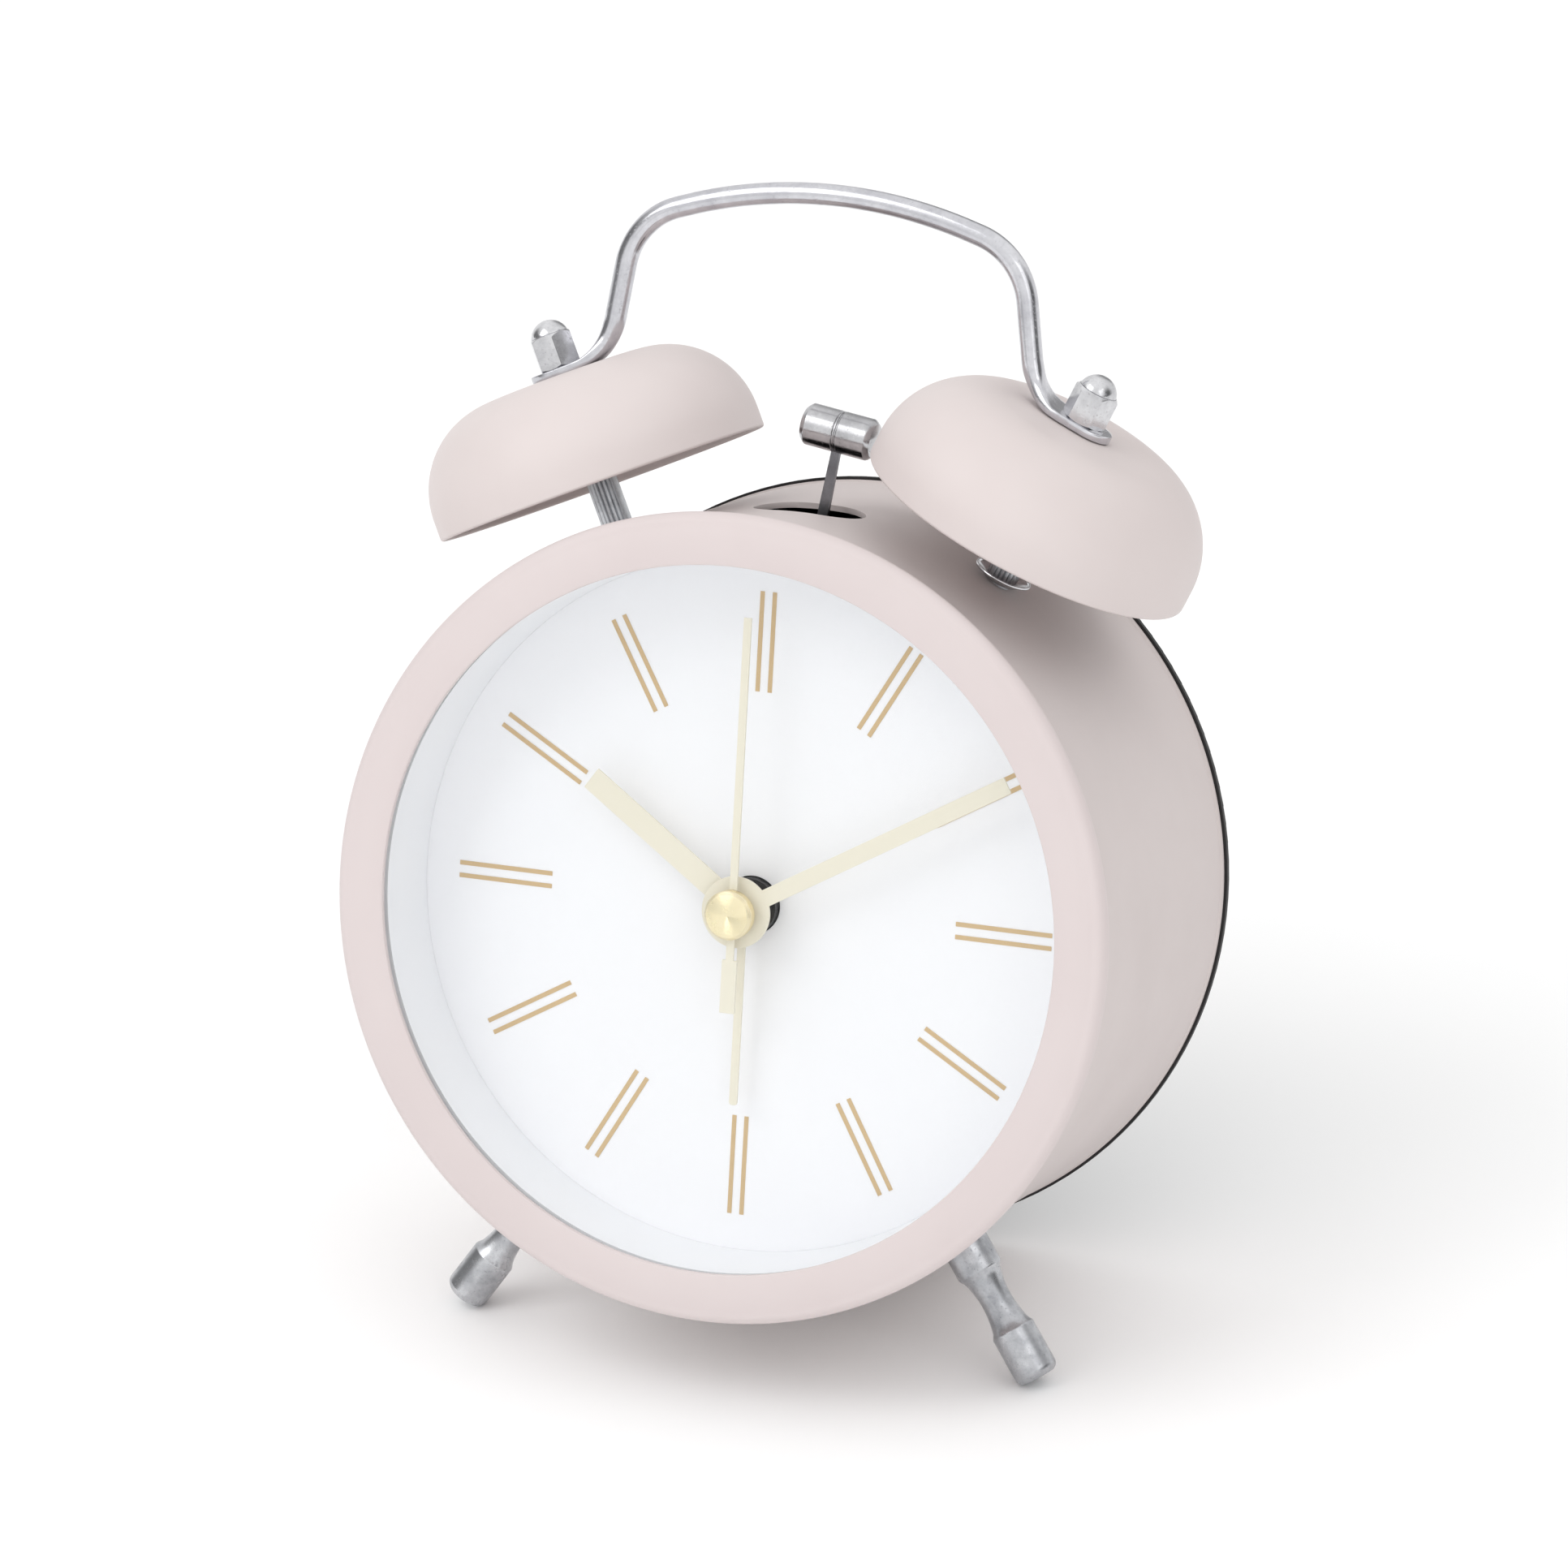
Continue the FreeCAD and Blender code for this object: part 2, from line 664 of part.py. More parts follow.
def make_carry_handle():
    """Chrome rod, bent in one plane, with both ends hammered flat and drilled."""
    depth = float(size.bellDepth)
    radius, thick = float(size.rodRadius), float(size.tabThick)
    foot, direction = bell_axis(1)
    tab = foot + direction * (float(nut_seat()) - thick / 2)
    inward = Vector(-direction.z, 0, direction.x)
    line = tab + direction * (radius - thick / 2)
    lean = math.radians(float(size.handleLean))
    rise = Vector(-math.sin(lean), 0, math.cos(lean))
    half, top, crown = float(size.handleHalf), float(size.handleTop), float(size.crownArc)
    spread = math.asin((half - float(size.shoulderArc) * 0.7) / crown)
    crown_end = Vector(crown * math.sin(spread), depth, top - crown * (1 - math.cos(spread)))
    fall = Vector(math.cos(spread), 0, -math.sin(spread))
    shoulder = crown_end + fall * ((half - crown_end.x) / fall.x)
    knee_gap = (line.x - shoulder.x) * rise.z - (line.z - shoulder.z) * rise.x
    knee = line + inward * (knee_gap / (rise.x * inward.z - rise.z * inward.x))
    bend = arc_between(line, knee, shoulder, float(size.footArc))
    turnover = arc_between(knee, shoulder, crown_end, float(size.shoulderArc))
    flat_end = tab + inward * (float(size.tabWide) * 0.5)

    def flip(point):
        return Vector(-point.x, point.y, point.z)

    crown_top = Vector(0, depth, top)
    edges = [Part.LineSegment(turnover[2], crown_end).toShape(),
             Part.Arc(crown_end, crown_top, flip(crown_end)).toShape(),
             Part.LineSegment(flip(crown_end), flip(turnover[2])).toShape()]
    right = [Part.Arc(*bend).toShape(), Part.LineSegment(bend[2], turnover[0]).toShape(),
             Part.Arc(*turnover).toShape()]
    left = [Part.Arc(*[flip(p) for p in reversed(turnover)]).toShape(),
            Part.LineSegment(flip(turnover[0]), flip(bend[2])).toShape(),
            Part.Arc(*[flip(p) for p in reversed(bend)]).toShape()]
    path = Part.Wire(right + edges + left)
    section = Part.Wire(Part.Circle(bend[0], inward, radius).toShape())
    pieces = [path.makePipeShell([section], True, False)]
    for side in (1, -1):
        def mirror(point):
            return point if side > 0 else flip(point)
        foot_side, up = bell_axis(side)
        inner = Vector(side * inward.x, 0, inward.z)
        start = mirror(flat_end)
        circle = rod_section(mirror(bend[0]), up, radius, radius)
        flat = rod_section(start - inner * 0.3, up, float(size.tabWide) / 2, thick / 2)
        pieces.append(Part.makeLoft([circle, flat], True, True))
        centre = mirror(tab - inward * float(size.tabTail))
        disc = Part.makeCylinder(float(size.tabWide) / 2, thick, centre - up * (thick / 2), up)
        web = Part.makeBox(start.distanceToPoint(centre), float(size.tabWide), thick)
        web.Placement = Placement(centre - up * (thick / 2) - Y_AXIS * (float(size.tabWide) / 2),
                                  Rotation(inner, Y_AXIS, inner.cross(Y_AXIS), "XYZ"))
        if inner.cross(Y_AXIS).dot(up) < 0:
            web.translate(up * thick)
        pieces += [disc, web]
    solid = pieces[0].multiFuse(pieces[1:])
    for side in (1, -1):
        foot_side, up = bell_axis(side)
        base = foot_side + up * (float(nut_seat()) - 3 * thick)
        hole = Part.makeCylinder(float(size.studRadius + size.studGap), 6 * thick, base, up)
        solid = solid.cut(hole)
    part = doc.addObject("Part::Feature", "carry_handle")
    part.Label = "carry_handle"
    part.Shape = solid
    return keep(part)


def leg_end():
    return size.drumRadius + size.seatGap * 2 + size.legTop + size.legNeck + size.legFoot


def make_leg(label, side):
    body = new_body(label)
    top = size.drumRadius + size.seatGap * 2
    neck = top + size.legTop
    foot = neck + size.legNeck
    turn(body, [
        (0, top - size.studLong),
        (size.studRadius, top - size.studLong),
        (size.studRadius, top),
        (size.legRadius, top),
        (size.legRadius, neck),
        (size.footRadius, foot, size.neckArc, -1),
        (size.footRadius, leg_end() - size.footRound),
        (size.footRadius - size.footRound, leg_end(), size.footRound, 1),
        (0, leg_end()),
    ])
    return keep(body, along(*leg_axis(side)))


# ---------------------------------------------------------------- hammer and its motor

def make_hammer_head():
    body = new_body("hammer_head")
    half = size.headLong / 2
    groove = size.armWide / 5
    nose = size.headRadius * 0.8
    turn(body, [
        (0, -half - size.headNose),
        (nose, -half - size.headNose),
        (size.headRadius, -half),
        (size.headRadius, -groove),
        (size.headRadius - groove, 0),
        (size.headRadius, groove),
        (size.headRadius, half),
        (nose, half + size.headNose),
        (0, half + size.headNose),
    ])
    tenon = size.armWide / 2 + size.seatGap
    deep = size.armThick / 2 + size.seatGap
    block(body, (-size.headRadius - 1, -tenon, -deep), (-size.headRadius * 0.4, tenon, deep), cut=True)
    head_turn = Rotation(Vector(0, 0, 1), Vector(1, 0, 0), Vector(0, 1, 0), "ZYX")
    return keep(body, hammer_place().multiply(
        Placement(Vector(0, 0, float(size.hammerReach)), head_turn)))


def hammer_place():
    """Hammer frame: origin on the pivot, Z along the arm, leaning to the right at rest."""
    pivot = Vector(0, float(size.bellDepth), float(size.pivotHigh))
    return Placement(pivot, Rotation(Y_AXIS, float(size.hammerTilt)))


def make_hammer_arm():
    body = new_body("hammer_arm")
    half, deep = size.armWide / 2, size.armThick / 2
    hub = size.pivotRadius * 2.4
    tail = size.pivotHigh - size.motorHigh + size.crankThrow
    block(body, (-half, -deep, 0), (half, deep, size.hammerReach - size.headRadius * 0.5))
    rod(body, hub, size.armThick * 3, (0, -deep, 0))
    for side in (-1, 1):
        inner, outer = side * size.crankThrow * 0.6, side * (size.crankThrow * 0.6 + size.armWide)
        low, high = (inner, outer) if side > 0 else (outer, inner)
        block(body, (low, -deep, -tail), (high, deep, -hub * 0.5))
    rod(body, size.pivotRadius + size.runGap, size.armThick * 8, (0, -deep * 4, 0), cut=True)
    return keep(body, hammer_place())


def striker_front():
    return movement_front() + size.boxDeep + size.lidWall + size.seatGap * 2


def make_striker_plate():
    body = new_body("striker_plate")
    front = striker_front()
    wide = size.motorRadius + 4
    pad(body, [rectangle(-wide, wide, size.boxHalf - 5, size.pivotHigh + 5)],
        front, front + size.plateWall,
        [(0, size.motorHigh, size.motorRadius * 0.4)])
    for side in (-1, 1):
        rod(body, size.screwRadius, size.plateWall * 3,
            (side * size.motorRadius, front - 1, size.boxHalf - 2.6), cut=True)
    pin = striker_front() - (size.bellDepth - size.armThick * 1.5)
    rod(body, size.pivotRadius, pin + size.plateWall,
        (0, size.bellDepth - size.armThick * 1.5, size.pivotHigh))
    return keep(body)


def make_striker_motor():
    body = new_body("striker_motor")
    front = striker_front() + size.plateWall
    shaft = size.pivotRadius + size.runGap
    turn(body, [(shaft, front), (size.motorRadius, front),
                (size.motorRadius, front + size.motorLong), (shaft, front + size.motorLong)])
    rod(body, size.motorRadius * 0.38, size.plateWall, (0, front - size.plateWall, 0))
    rod(body, shaft, size.motorLong + 4, (0, front - 2, 0), cut=True)
    return keep(body, Placement(Vector(0, 0, float(size.motorHigh)), Rotation()))


def make_motor_crank():
    """Motor shaft, crank disc and pin. The pin stops just short of the hammer's fork."""
    body = new_body("motor_crank")
    disc_back = striker_front() - 0.5
    disc_front = disc_back - 1.2
    fork_back = size.bellDepth + size.armThick / 2
    turn(body, rectangle(0, size.crankThrow + 1.2, disc_front, disc_back))
    rod(body, size.pivotRadius, size.motorLong + 1.0, (0, disc_back, 0))
    rod(body, 0.6, disc_front - fork_back - 0.3, (0, fork_back + 0.3, size.crankThrow))
    return keep(body, Placement(Vector(0, 0, float(size.motorHigh)), Rotation()))


# ---------------------------------------------------------------- movement

def layer(index):
    """Front depth of a gear layer; the bridge stands between the third layer and the fourth."""
    front = movement_front() + size.boxWall + 0.45 + size.layerPitch * index
    return front + (size.bridgeWall + 0.5 if index > 2 else 0)


def toothed(teeth, module, depth, thick, centre=(0, 0), phase=0.0):
    """Spur gear with straight-sided teeth, cut a little thin so that a mesh runs free."""
    pitch = teeth * module / 2
    step = 2 * math.pi / teeth
    profile = [(pitch - 1.2 * module, -0.27), (pitch, -0.19), (pitch + 0.8 * module, -0.08),
               (pitch + 0.8 * module, 0.08), (pitch, 0.19), (pitch - 1.2 * module, 0.27)]
    points = []
    for tooth in range(teeth):
        for radius, share in profile:
            angle = phase + (tooth + share) * step
            points.append(Vector(centre[0] + radius * math.sin(angle), depth,
                                 centre[1] + radius * math.cos(angle)))
    return Part.Face(Part.makePolygon(points + points[:1])).extrude(Vector(0, thick, 0))


def mesh_phase(teeth, other_teeth, bearing, other_phase):
    """Phase of a gear so that it meshes with another whose centre lies at a bearing from it.

    Bearings are clockwise from twelve o'clock, in radians, from the other gear to this one.
    """
    other_step = 2 * math.pi / other_teeth
    into_other = (bearing - other_phase) / other_step
    share = into_other - math.floor(into_other)
    step = 2 * math.pi / teeth
    return bearing + math.pi + (share + 0.5) * step


def shaft_between(radius, front, back, centre=(0, 0)):
    length = float(back) - float(front)
    return Part.makeCylinder(float(radius), length, Vector(centre[0], float(front), centre[1]), Y_AXIS)


def gear_part(label, solids, bore=None, place=HOME):
    """A wheel with its pinion and arbor as one moulded piece, bored if a tube."""
    solid = solids[0].multiFuse(solids[1:]) if len(solids) > 1 else solids[0]
    if bore is not None:
        solid = solid.cut(bore)
    part = doc.addObject("Part::Feature", label)
    part.Label = label
    part.Shape = solid
    return keep(part, place)


def tube_radius(index):
    """Outer radius of the nested tubes: 0 second shaft, 1 minute, 2 hour, 3 alarm."""
    radius = size.shaftRadius
    for _ in range(index):
        radius = radius + size.tubeGap + size.tubeWall
    return radius


TRAIN = {  # teeth of the going train, the motion work and the alarm work
    "rotor": 8, "idler": 48, "idler_pinion": 8, "second": 40, "second_pinion": 8,
    "third": 60, "third_pinion": 8, "centre": 64, "cannon": 12, "motion": 36,
    "motion_pinion": 10, "hour": 40, "knob": 24, "alarm": 50, "alarm_knob": 40,
}


def module_of(reach, first, second):
    return 2 * float(reach) / (TRAIN[first] + TRAIN[second])


def lid_front():
    return movement_front() + size.boxDeep


def make_gears():
    thick = float(size.wheelThick)
    reach, up, low = float(size.trainReach), 0.0, math.pi
    idler_at = (0.0, reach)
    rotor_at = (0.0, reach + float(size.rotorReach))
    third_at = (0.0, -reach)
    motion_at = (-float(size.motionReach), 0.0)
    knob_at = (-float(size.knobReach), 0.0)
    alarm_knob_at = (float(size.knobReach), 0.0)
    west, east = -math.pi / 2, math.pi / 2
    depth = [float(layer(i)) for i in range(7)]
    pivot_back = float(lid_front()) + float(size.lidWall) * 0.7
    knob_module = 2 * (float(size.knobReach) - float(size.motionReach)) / (
        TRAIN["motion"] + TRAIN["knob"])

    # second wheel on the long shaft that carries the second hand
    second_module = module_of(reach, "idler_pinion", "second")
    third_module = module_of(reach, "second_pinion", "third")
    gear_part("second_wheel", [
        toothed(TRAIN["second"], second_module, depth[5], thick),
        toothed(TRAIN["second_pinion"], third_module, depth[4], depth[5] - depth[4]),
        shaft_between(size.shaftRadius, -float(size.secondPlane), pivot_back)])
    # third wheel
    third_phase = mesh_phase(TRAIN["third"], TRAIN["second_pinion"], low, 0.0)
    centre_module = module_of(reach, "third_pinion", "centre")
    gear_part("third_wheel", [
        toothed(TRAIN["third"], third_module, depth[4], thick, third_at, third_phase),
        toothed(TRAIN["third_pinion"], centre_module, depth[3], depth[4] - depth[3], third_at),
        shaft_between(0.4, bridge_front() + 0.2, pivot_back, third_at)])
    # centre wheel, slipping on the cannon pinion's tube
    centre_phase = mesh_phase(TRAIN["centre"], TRAIN["third_pinion"], up, 0.0)
    gear_part("centre_wheel", [
        toothed(TRAIN["centre"], centre_module, depth[3], thick, (0, 0), centre_phase)],
        shaft_between(tube_radius(1) + size.runGap, depth[3] - 1, depth[3] + 2))
    # idler wheel and rotor
    idler_phase = mesh_phase(TRAIN["idler_pinion"], TRAIN["second"], up, 0.0)
    rotor_module = module_of(size.rotorReach, "rotor", "idler")
    gear_part("idler_wheel", [
        toothed(TRAIN["idler"], rotor_module, depth[6], thick, idler_at),
        toothed(TRAIN["idler_pinion"], second_module, depth[5], depth[6] - depth[5],
                idler_at, idler_phase),
        shaft_between(0.4, depth[5] - 0.6, pivot_back, idler_at)])
    rotor_phase = mesh_phase(TRAIN["rotor"], TRAIN["idler"], up, 0.0)
    gear_part("step_rotor", [
        toothed(TRAIN["rotor"], rotor_module, depth[6], thick, rotor_at, rotor_phase),
        shaft_between(3.0, depth[4] - 0.9, depth[4] + 1.3, rotor_at),
        shaft_between(0.4, bridge_front() + 0.2, pivot_back, rotor_at)])
    # motion work: cannon pinion, motion wheel, hour wheel
    motion_module = module_of(size.motionReach, "cannon", "motion")
    hour_module = module_of(size.motionReach, "motion_pinion", "hour")
    gear_part("cannon_pinion", [
        toothed(TRAIN["cannon"], motion_module, depth[2], thick),
        shaft_between(tube_radius(1), -float(size.minutePlane), depth[3] + thick + 0.2)],
        shaft_between(size.shaftRadius + size.tubeGap, -20, 40))
    motion_phase = mesh_phase(TRAIN["motion"], TRAIN["cannon"], west, 0.0)
    gear_part("motion_wheel", [
        toothed(TRAIN["motion"], motion_module, depth[2], thick, motion_at, motion_phase),
        toothed(TRAIN["motion_pinion"], hour_module, depth[1], depth[2] - depth[1], motion_at)],
        shaft_between(0.6 + float(size.runGap), depth[1] - 1, depth[2] + 2, motion_at))
    hour_phase = mesh_phase(TRAIN["hour"], TRAIN["motion_pinion"], east, 0.0)
    gear_part("hour_wheel", [
        toothed(TRAIN["hour"], hour_module, depth[1], thick, (0, 0), hour_phase),
        shaft_between(tube_radius(2), -float(size.hourPlane), depth[1] + thick)],
        shaft_between(tube_radius(1) + size.tubeGap, -20, 40))
    # alarm wheel
    alarm_module = 2 * float(size.knobReach) / (TRAIN["alarm"] + TRAIN["alarm_knob"])
    gear_part("alarm_wheel", [
        toothed(TRAIN["alarm"], alarm_module, depth[0], thick),
        shaft_between(tube_radius(3), -float(size.alarmPlane), depth[0] + thick)],
        shaft_between(tube_radius(2) + size.tubeGap, -20, 40))
    # arbors of the setting knobs
    arbor_back = float(cover_back()) + 2.5
    knob_phase = mesh_phase(TRAIN["knob"], TRAIN["motion"], west, motion_phase)
    gear_part("time_arbor", [
        toothed(TRAIN["knob"], knob_module, depth[2], thick, knob_at, knob_phase),
        shaft_between(size.arborRadius, depth[2] - 0.2, arbor_back, knob_at)])
    alarm_phase = mesh_phase(TRAIN["alarm_knob"], TRAIN["alarm"], east, 0.0)
    gear_part("alarm_arbor", [
        toothed(TRAIN["alarm_knob"], alarm_module, depth[0], thick, alarm_knob_at, alarm_phase),
        shaft_between(size.arborRadius, depth[0] - 0.2, arbor_back, alarm_knob_at)])


def bridge_front():
    return layer(2) + size.wheelThick + 0.25


def make_movement_housing():
    body = new_body("movement_housing")
    half, wall, front = size.boxHalf, size.boxWall, movement_front()
    block(body, (-half, front, -half), (half, front + size.boxDeep, half))
    block(body, (-half + wall, front + wall, -half + wall),
          (half - wall, front + size.boxDeep + 1, half - wall), cut=True)
    for x, z in corner_screws():
        rod(body, size.screwHead, size.boxDeep, (x, front, z))
        rod(body, size.screwRadius + size.studGap, size.boxDeep * 2, (x, front - 1, z), cut=True)
    rod(body, size.bushRadius, size.alarmPlane * 0.4 + front, (0, -size.alarmPlane * 0.4, 0))
    rod(body, tube_radius(3) + size.tubeGap, front * 3, (0, -front, 0), cut=True)
    return keep(body)


def make_movement_bridge():
    """Plate between the going train and the motion work, with the motion wheel's stud."""
    body = new_body("movement_bridge")
    front = bridge_front()
    inner = size.boxHalf - size.boxWall - size.seatGap
    low = size.boxHalf - size.boxWall - size.screwHead * 2 - 1
    high = size.trainReach + size.rotorReach + 4.0
    pad(body, [rectangle(-inner, inner, -low, high)], front, front + size.bridgeWall)
    rod(body, 0.6, front - layer(1) + 0.2, (-size.motionReach, layer(1) - 0.2, 0))
    rod(body, tube_radius(1) + size.runGap * 2, 4, (0, front - 1, 0), cut=True)
    for z in (-size.trainReach, size.trainReach + size.rotorReach):
        rod(body, 0.4 + size.runGap, 4, (0, front - 1, z), cut=True)
    for x in (-size.knobReach, size.knobReach):
        rod(body, size.arborRadius + size.runGap, 4, (x, front - 1, 0), cut=True)
    return keep(body)


def make_movement_lid():
    body = new_body("movement_lid")
    half, front = size.boxHalf, lid_front() + size.seatGap
    block(body, (-half, front, -half), (half, front + size.lidWall, half))
    for x, z in corner_screws():
        rod(body, size.screwRadius + size.studGap, 4, (x, front - 1, z), cut=True)
    rod(body, size.shaftRadius + size.runGap, 4, (0, front - 1, 0), cut=True)
    for z in (-size.trainReach, size.trainReach, size.trainReach + size.rotorReach):
        rod(body, 0.4 + size.runGap, 4, (0, front - 1, z), cut=True)
    for x in (-size.knobReach, size.knobReach):
        rod(body, size.arborRadius + size.runGap, 4, (x, front - 1, 0), cut=True)
    for side in (-1, 1):
        rod(body, size.screwRadius, 4,
            (side * size.motorRadius, front - 1, size.boxHalf - 2.6), cut=True)
    return keep(body)


def make_screw(label, x, z, seat, length, radius=None):
    """Pan-head screw whose head stands on a seat and whose shank points forward."""
    body = new_body(label)
    shank = size.screwRadius if radius is None else radius
    turn(body, [(0, -length), (shank, -length), (shank, 0), (size.screwHead, 0),
                (size.screwHead, 0.7), (size.screwHead - 0.6, 1.3), (0, 1.3)])
    block(body, (-size.screwHead * 0.7, 0.8, -0.3), (size.screwHead * 0.7, 2, 0.3), cut=True)
    body.Placement = Placement(Vector(number_of(x), number_of(seat), number_of(z)), Rotation())
    return body


def make_stator():
    body = new_body("motor_stator")
    centre = size.trainReach + size.rotorReach
    front = layer(4) - 0.4
    outer, inner = 12.0, 9.2
    pad(body, [[(-outer, centre - 3.9), (outer, centre - 3.9), (outer, centre + 10.5),
                (inner, centre + 10.5), (inner, centre + 4.2), (-inner, centre + 4.2),
                (-inner, centre + 10.5), (-outer, centre + 10.5)]],
        front, front + 0.9, [(0, centre, 3.5)])
    return keep(body)


def make_drive_coil():
    body = new_body("drive_coil")
    centre = size.trainReach + size.rotorReach
    front = layer(4) - 0.4
    block(body, (-8.8, front - 2.4, centre + 4.9), (8.8, front + 3.3, centre + 9.9))
    for side in (-1, 1):
        low, high = (7.4, 8.8) if side > 0 else (-8.8, -7.4)
        block(body, (low, front - 3.0, centre + 4.5), (high, front + 3.7, centre + 10.3))
    return keep(body)


def make_circuit_board():
    body = new_body("circuit_board")
    back = lid_front() - 1.0
    high = -size.boxHalf + size.boxWall + 12.0
    low = -size.boxHalf + size.boxWall + 0.6
    pad(body, [rectangle(-18, 18, low, high)], back - 1.2, back)
    rod(body, 2.6, 1.0, (-6, back - 2.2, low + 6))
    return keep(body)


def make_quartz_crystal():
    body = new_body("quartz_crystal")
    low = -size.boxHalf + size.boxWall + 5.0
    rod(body, 1.0, 6.2, (4, lid_front() - 1.0 - 1.2 - 1.05, low), X_AXIS)
    return keep(body)


# ---------------------------------------------------------------- hands

def make_hand(label, plane, angle, loop, hub, bore):
    body = new_body(label)
    front = -plane - size.handThick / 2
    back = -plane + size.handThick / 2
    if loop is not None:
        pad(body, [loop], front, back)
    rod(body, hub, size.handThick, (0, front, 0))
    rod(body, bore, 4, (0, front - 1, 0), cut=True)
    return keep(body, turned_to(angle))


def hand_loop(half, start, end, corner):
    """Straight hand along Z with rounded tip corners."""
    return [(-half, start), (half, start), (half, end - corner),
            (half - corner, end, corner, 1), (-half + corner, end),
            (-half, end - corner, corner, 1)]


def make_hands():
    half = size.hourWide / 2
    make_hand("hour_hand", size.hourPlane, HOUR_ANGLE,
              hand_loop(half, 0, size.hourLong, half * 0.2), size.minuteHub * 0.7, tube_radius(2))
    half = size.minuteWide / 2
    make_hand("minute_hand", size.minutePlane, MINUTE_ANGLE,
              hand_loop(half, 0, size.minuteLong, half * 0.3), size.minuteHub, tube_radius(1))
    half = size.alarmWide / 2
    make_hand("alarm_hand", size.alarmPlane, ALARM_ANGLE,
              hand_loop(half, 0, size.alarmLong, half * 0.98), size.minuteHub * 0.65, tube_radius(3))
    half, tail = size.secondWide / 2, size.tailWide / 2
    loop = [(-half, -size.tailStart), (-tail, -size.tailStart - half), (-tail, -size.tailEnd),
            (tail, -size.tailEnd), (tail, -size.tailStart - half), (half, -size.tailStart),
            (half, size.secondLong), (-half, size.secondLong)]
    make_hand("second_hand", size.secondPlane, SECOND_ANGLE, loop,
              size.capRadius * 0.7, size.shaftRadius)


def make_second_cap():
    body = new_body("second_cap")
    back = -size.secondPlane - size.handThick / 2
    front = back - size.capHigh
    edge = size.capHigh * 0.2
    turn(body, [(0, back), (size.capRadius, back), (size.capRadius, front + edge),
                (size.capRadius - edge, front), (0, front)])
    return keep(body, turned_to(SECOND_ANGLE))


# ---------------------------------------------------------------- back cover and battery

def cover_front():
    return size.drumBack + size.seatGap


def cover_back():
    return cover_front() + size.coverWall


def pillar_places():
    reach = size.pillarReach
    return [(reach * round(math.sin(math.radians(a)), 6), reach * round(math.cos(math.radians(a)), 6))
            for a in (60, 180, 300)]


def door_low():
    return -size.cellLow - size.doorHigh / 2


def make_back_cover():
    body = new_body("back_cover")
    front, back = cover_front(), cover_back()
    spigot = size.drumRadius - size.drumWall - size.bezelGap
    round_off = size.coverWall * 0.5
    turn(body, [
        (0, front),
        (spigot - size.skirtWall, front),
        (spigot - size.skirtWall, front - size.skirtDeep),
        (spigot, front - size.skirtDeep),
        (spigot, front),
        (size.coverRadius, front),
        (size.coverRadius, back - round_off),
        (size.coverRadius - round_off, back, round_off, 1),
        (0, back),
    ])
    inner, wall = size.bayHalf, size.bayWall
    low = door_low() - 1.9
    high = -size.cellLow + size.doorHigh / 2 + size.doorGap
    deep = front - size.bayDeep
    block(body, (-inner - wall, deep - wall, low - wall), (inner + wall, front, high + wall))
    block(body, (-inner, deep, low), (inner, front, high), cut=True)
    door_half = size.bayHalf - 0.9 + size.doorGap
    block(body, (-door_half, front - 1, door_low() - size.doorGap),
          (door_half, back + 1, high), cut=True)
    for x, z in pillar_places():
        rod(body, size.screwRadius + size.studGap, size.coverWall * 3, (x, front - 1, z), cut=True)
    for x in (-size.knobReach, size.knobReach):
        rod(body, size.arborRadius + size.runGap, size.coverWall * 3, (x, front - 1, 0), cut=True)
    slot = size.switchTravel / 2 + 1.2
    block(body, (-slot - size.seatGap, front - 1, size.switchHigh - 1.2),
          (slot + size.seatGap, back + 1, size.switchHigh + 1.2), cut=True)
    return keep(body)


def make_knob(label, x):
    body = new_body(label)
    seat = cover_back() + 0.4
    grip = size.knobRadius
    turn(body, [(0, seat), (grip * 0.82, seat), (grip, seat + 0.6),
                (grip, seat + size.knobLong - 0.8), (grip - 0.8, seat + size.knobLong),
                (0, seat + size.knobLong)])
    flute = rod(body, 0.45, size.knobLong * 2, (grip + 0.15, seat - 1, 0), cut=True)
    around(body, flute, 24)
    rod(body, size.arborRadius, 2.5 - 0.4, (0, seat, 0), cut=True)
    return keep(body, Placement(Vector(float(x), 0, 0), Rotation()))


def make_alarm_switch():
    body = new_body("alarm_switch")
    x, z = -size.switchTravel / 2, size.switchHigh
    back, front = cover_back() + 0.1, cover_front() - 0.1
    block(body, (x - 2.4, back, z - 2.6), (x + 2.4, back + 1.8, z + 2.6))
    block(body, (x - 1.1, front - 1.0, z - 1.0), (x + 1.1, back, z + 1.0))
    block(body, (x - 2.0, front - 1.6, z - 2.2), (x + 2.0, front, z + 2.2))
    for step in (-1.2, 0.0, 1.2):
        block(body, (x + (step - 0.25), back + 1.4, z - 3), (x + (step + 0.25), back + 3, z + 3), cut=True)
    return keep(body)


def make_battery_door():
    body = new_body("battery_door")
    front, back = cover_front(), cover_back()
    half = size.bayHalf - 0.9
    low, high = door_low(), door_low() + size.doorHigh
    block(body, (-half, front, low), (half, back, high))
    for side in (-1, 1):
        left, right = (12, 18) if side > 0 else (-18, -12)
        block(body, (left, front - 1.4, low), (right, front, low + 1.2))
        block(body, (left, front - 1.4, low - 1.4), (right, front - 0.2, low + 0.6))
    block(body, (-4, front - 2.4, high - 1.6), (4, front, high - 0.6))
    for step in range(5):
        rise = high - 3.0 - 0.9 * step
        block(body, (-5, back - 0.35, rise - 0.25), (5, back + 1, rise + 0.25), cut=True)
    return keep(body)


def cell_depth():
    return cover_front() - size.bayDeep + size.cellRadius + size.seatGap * 4


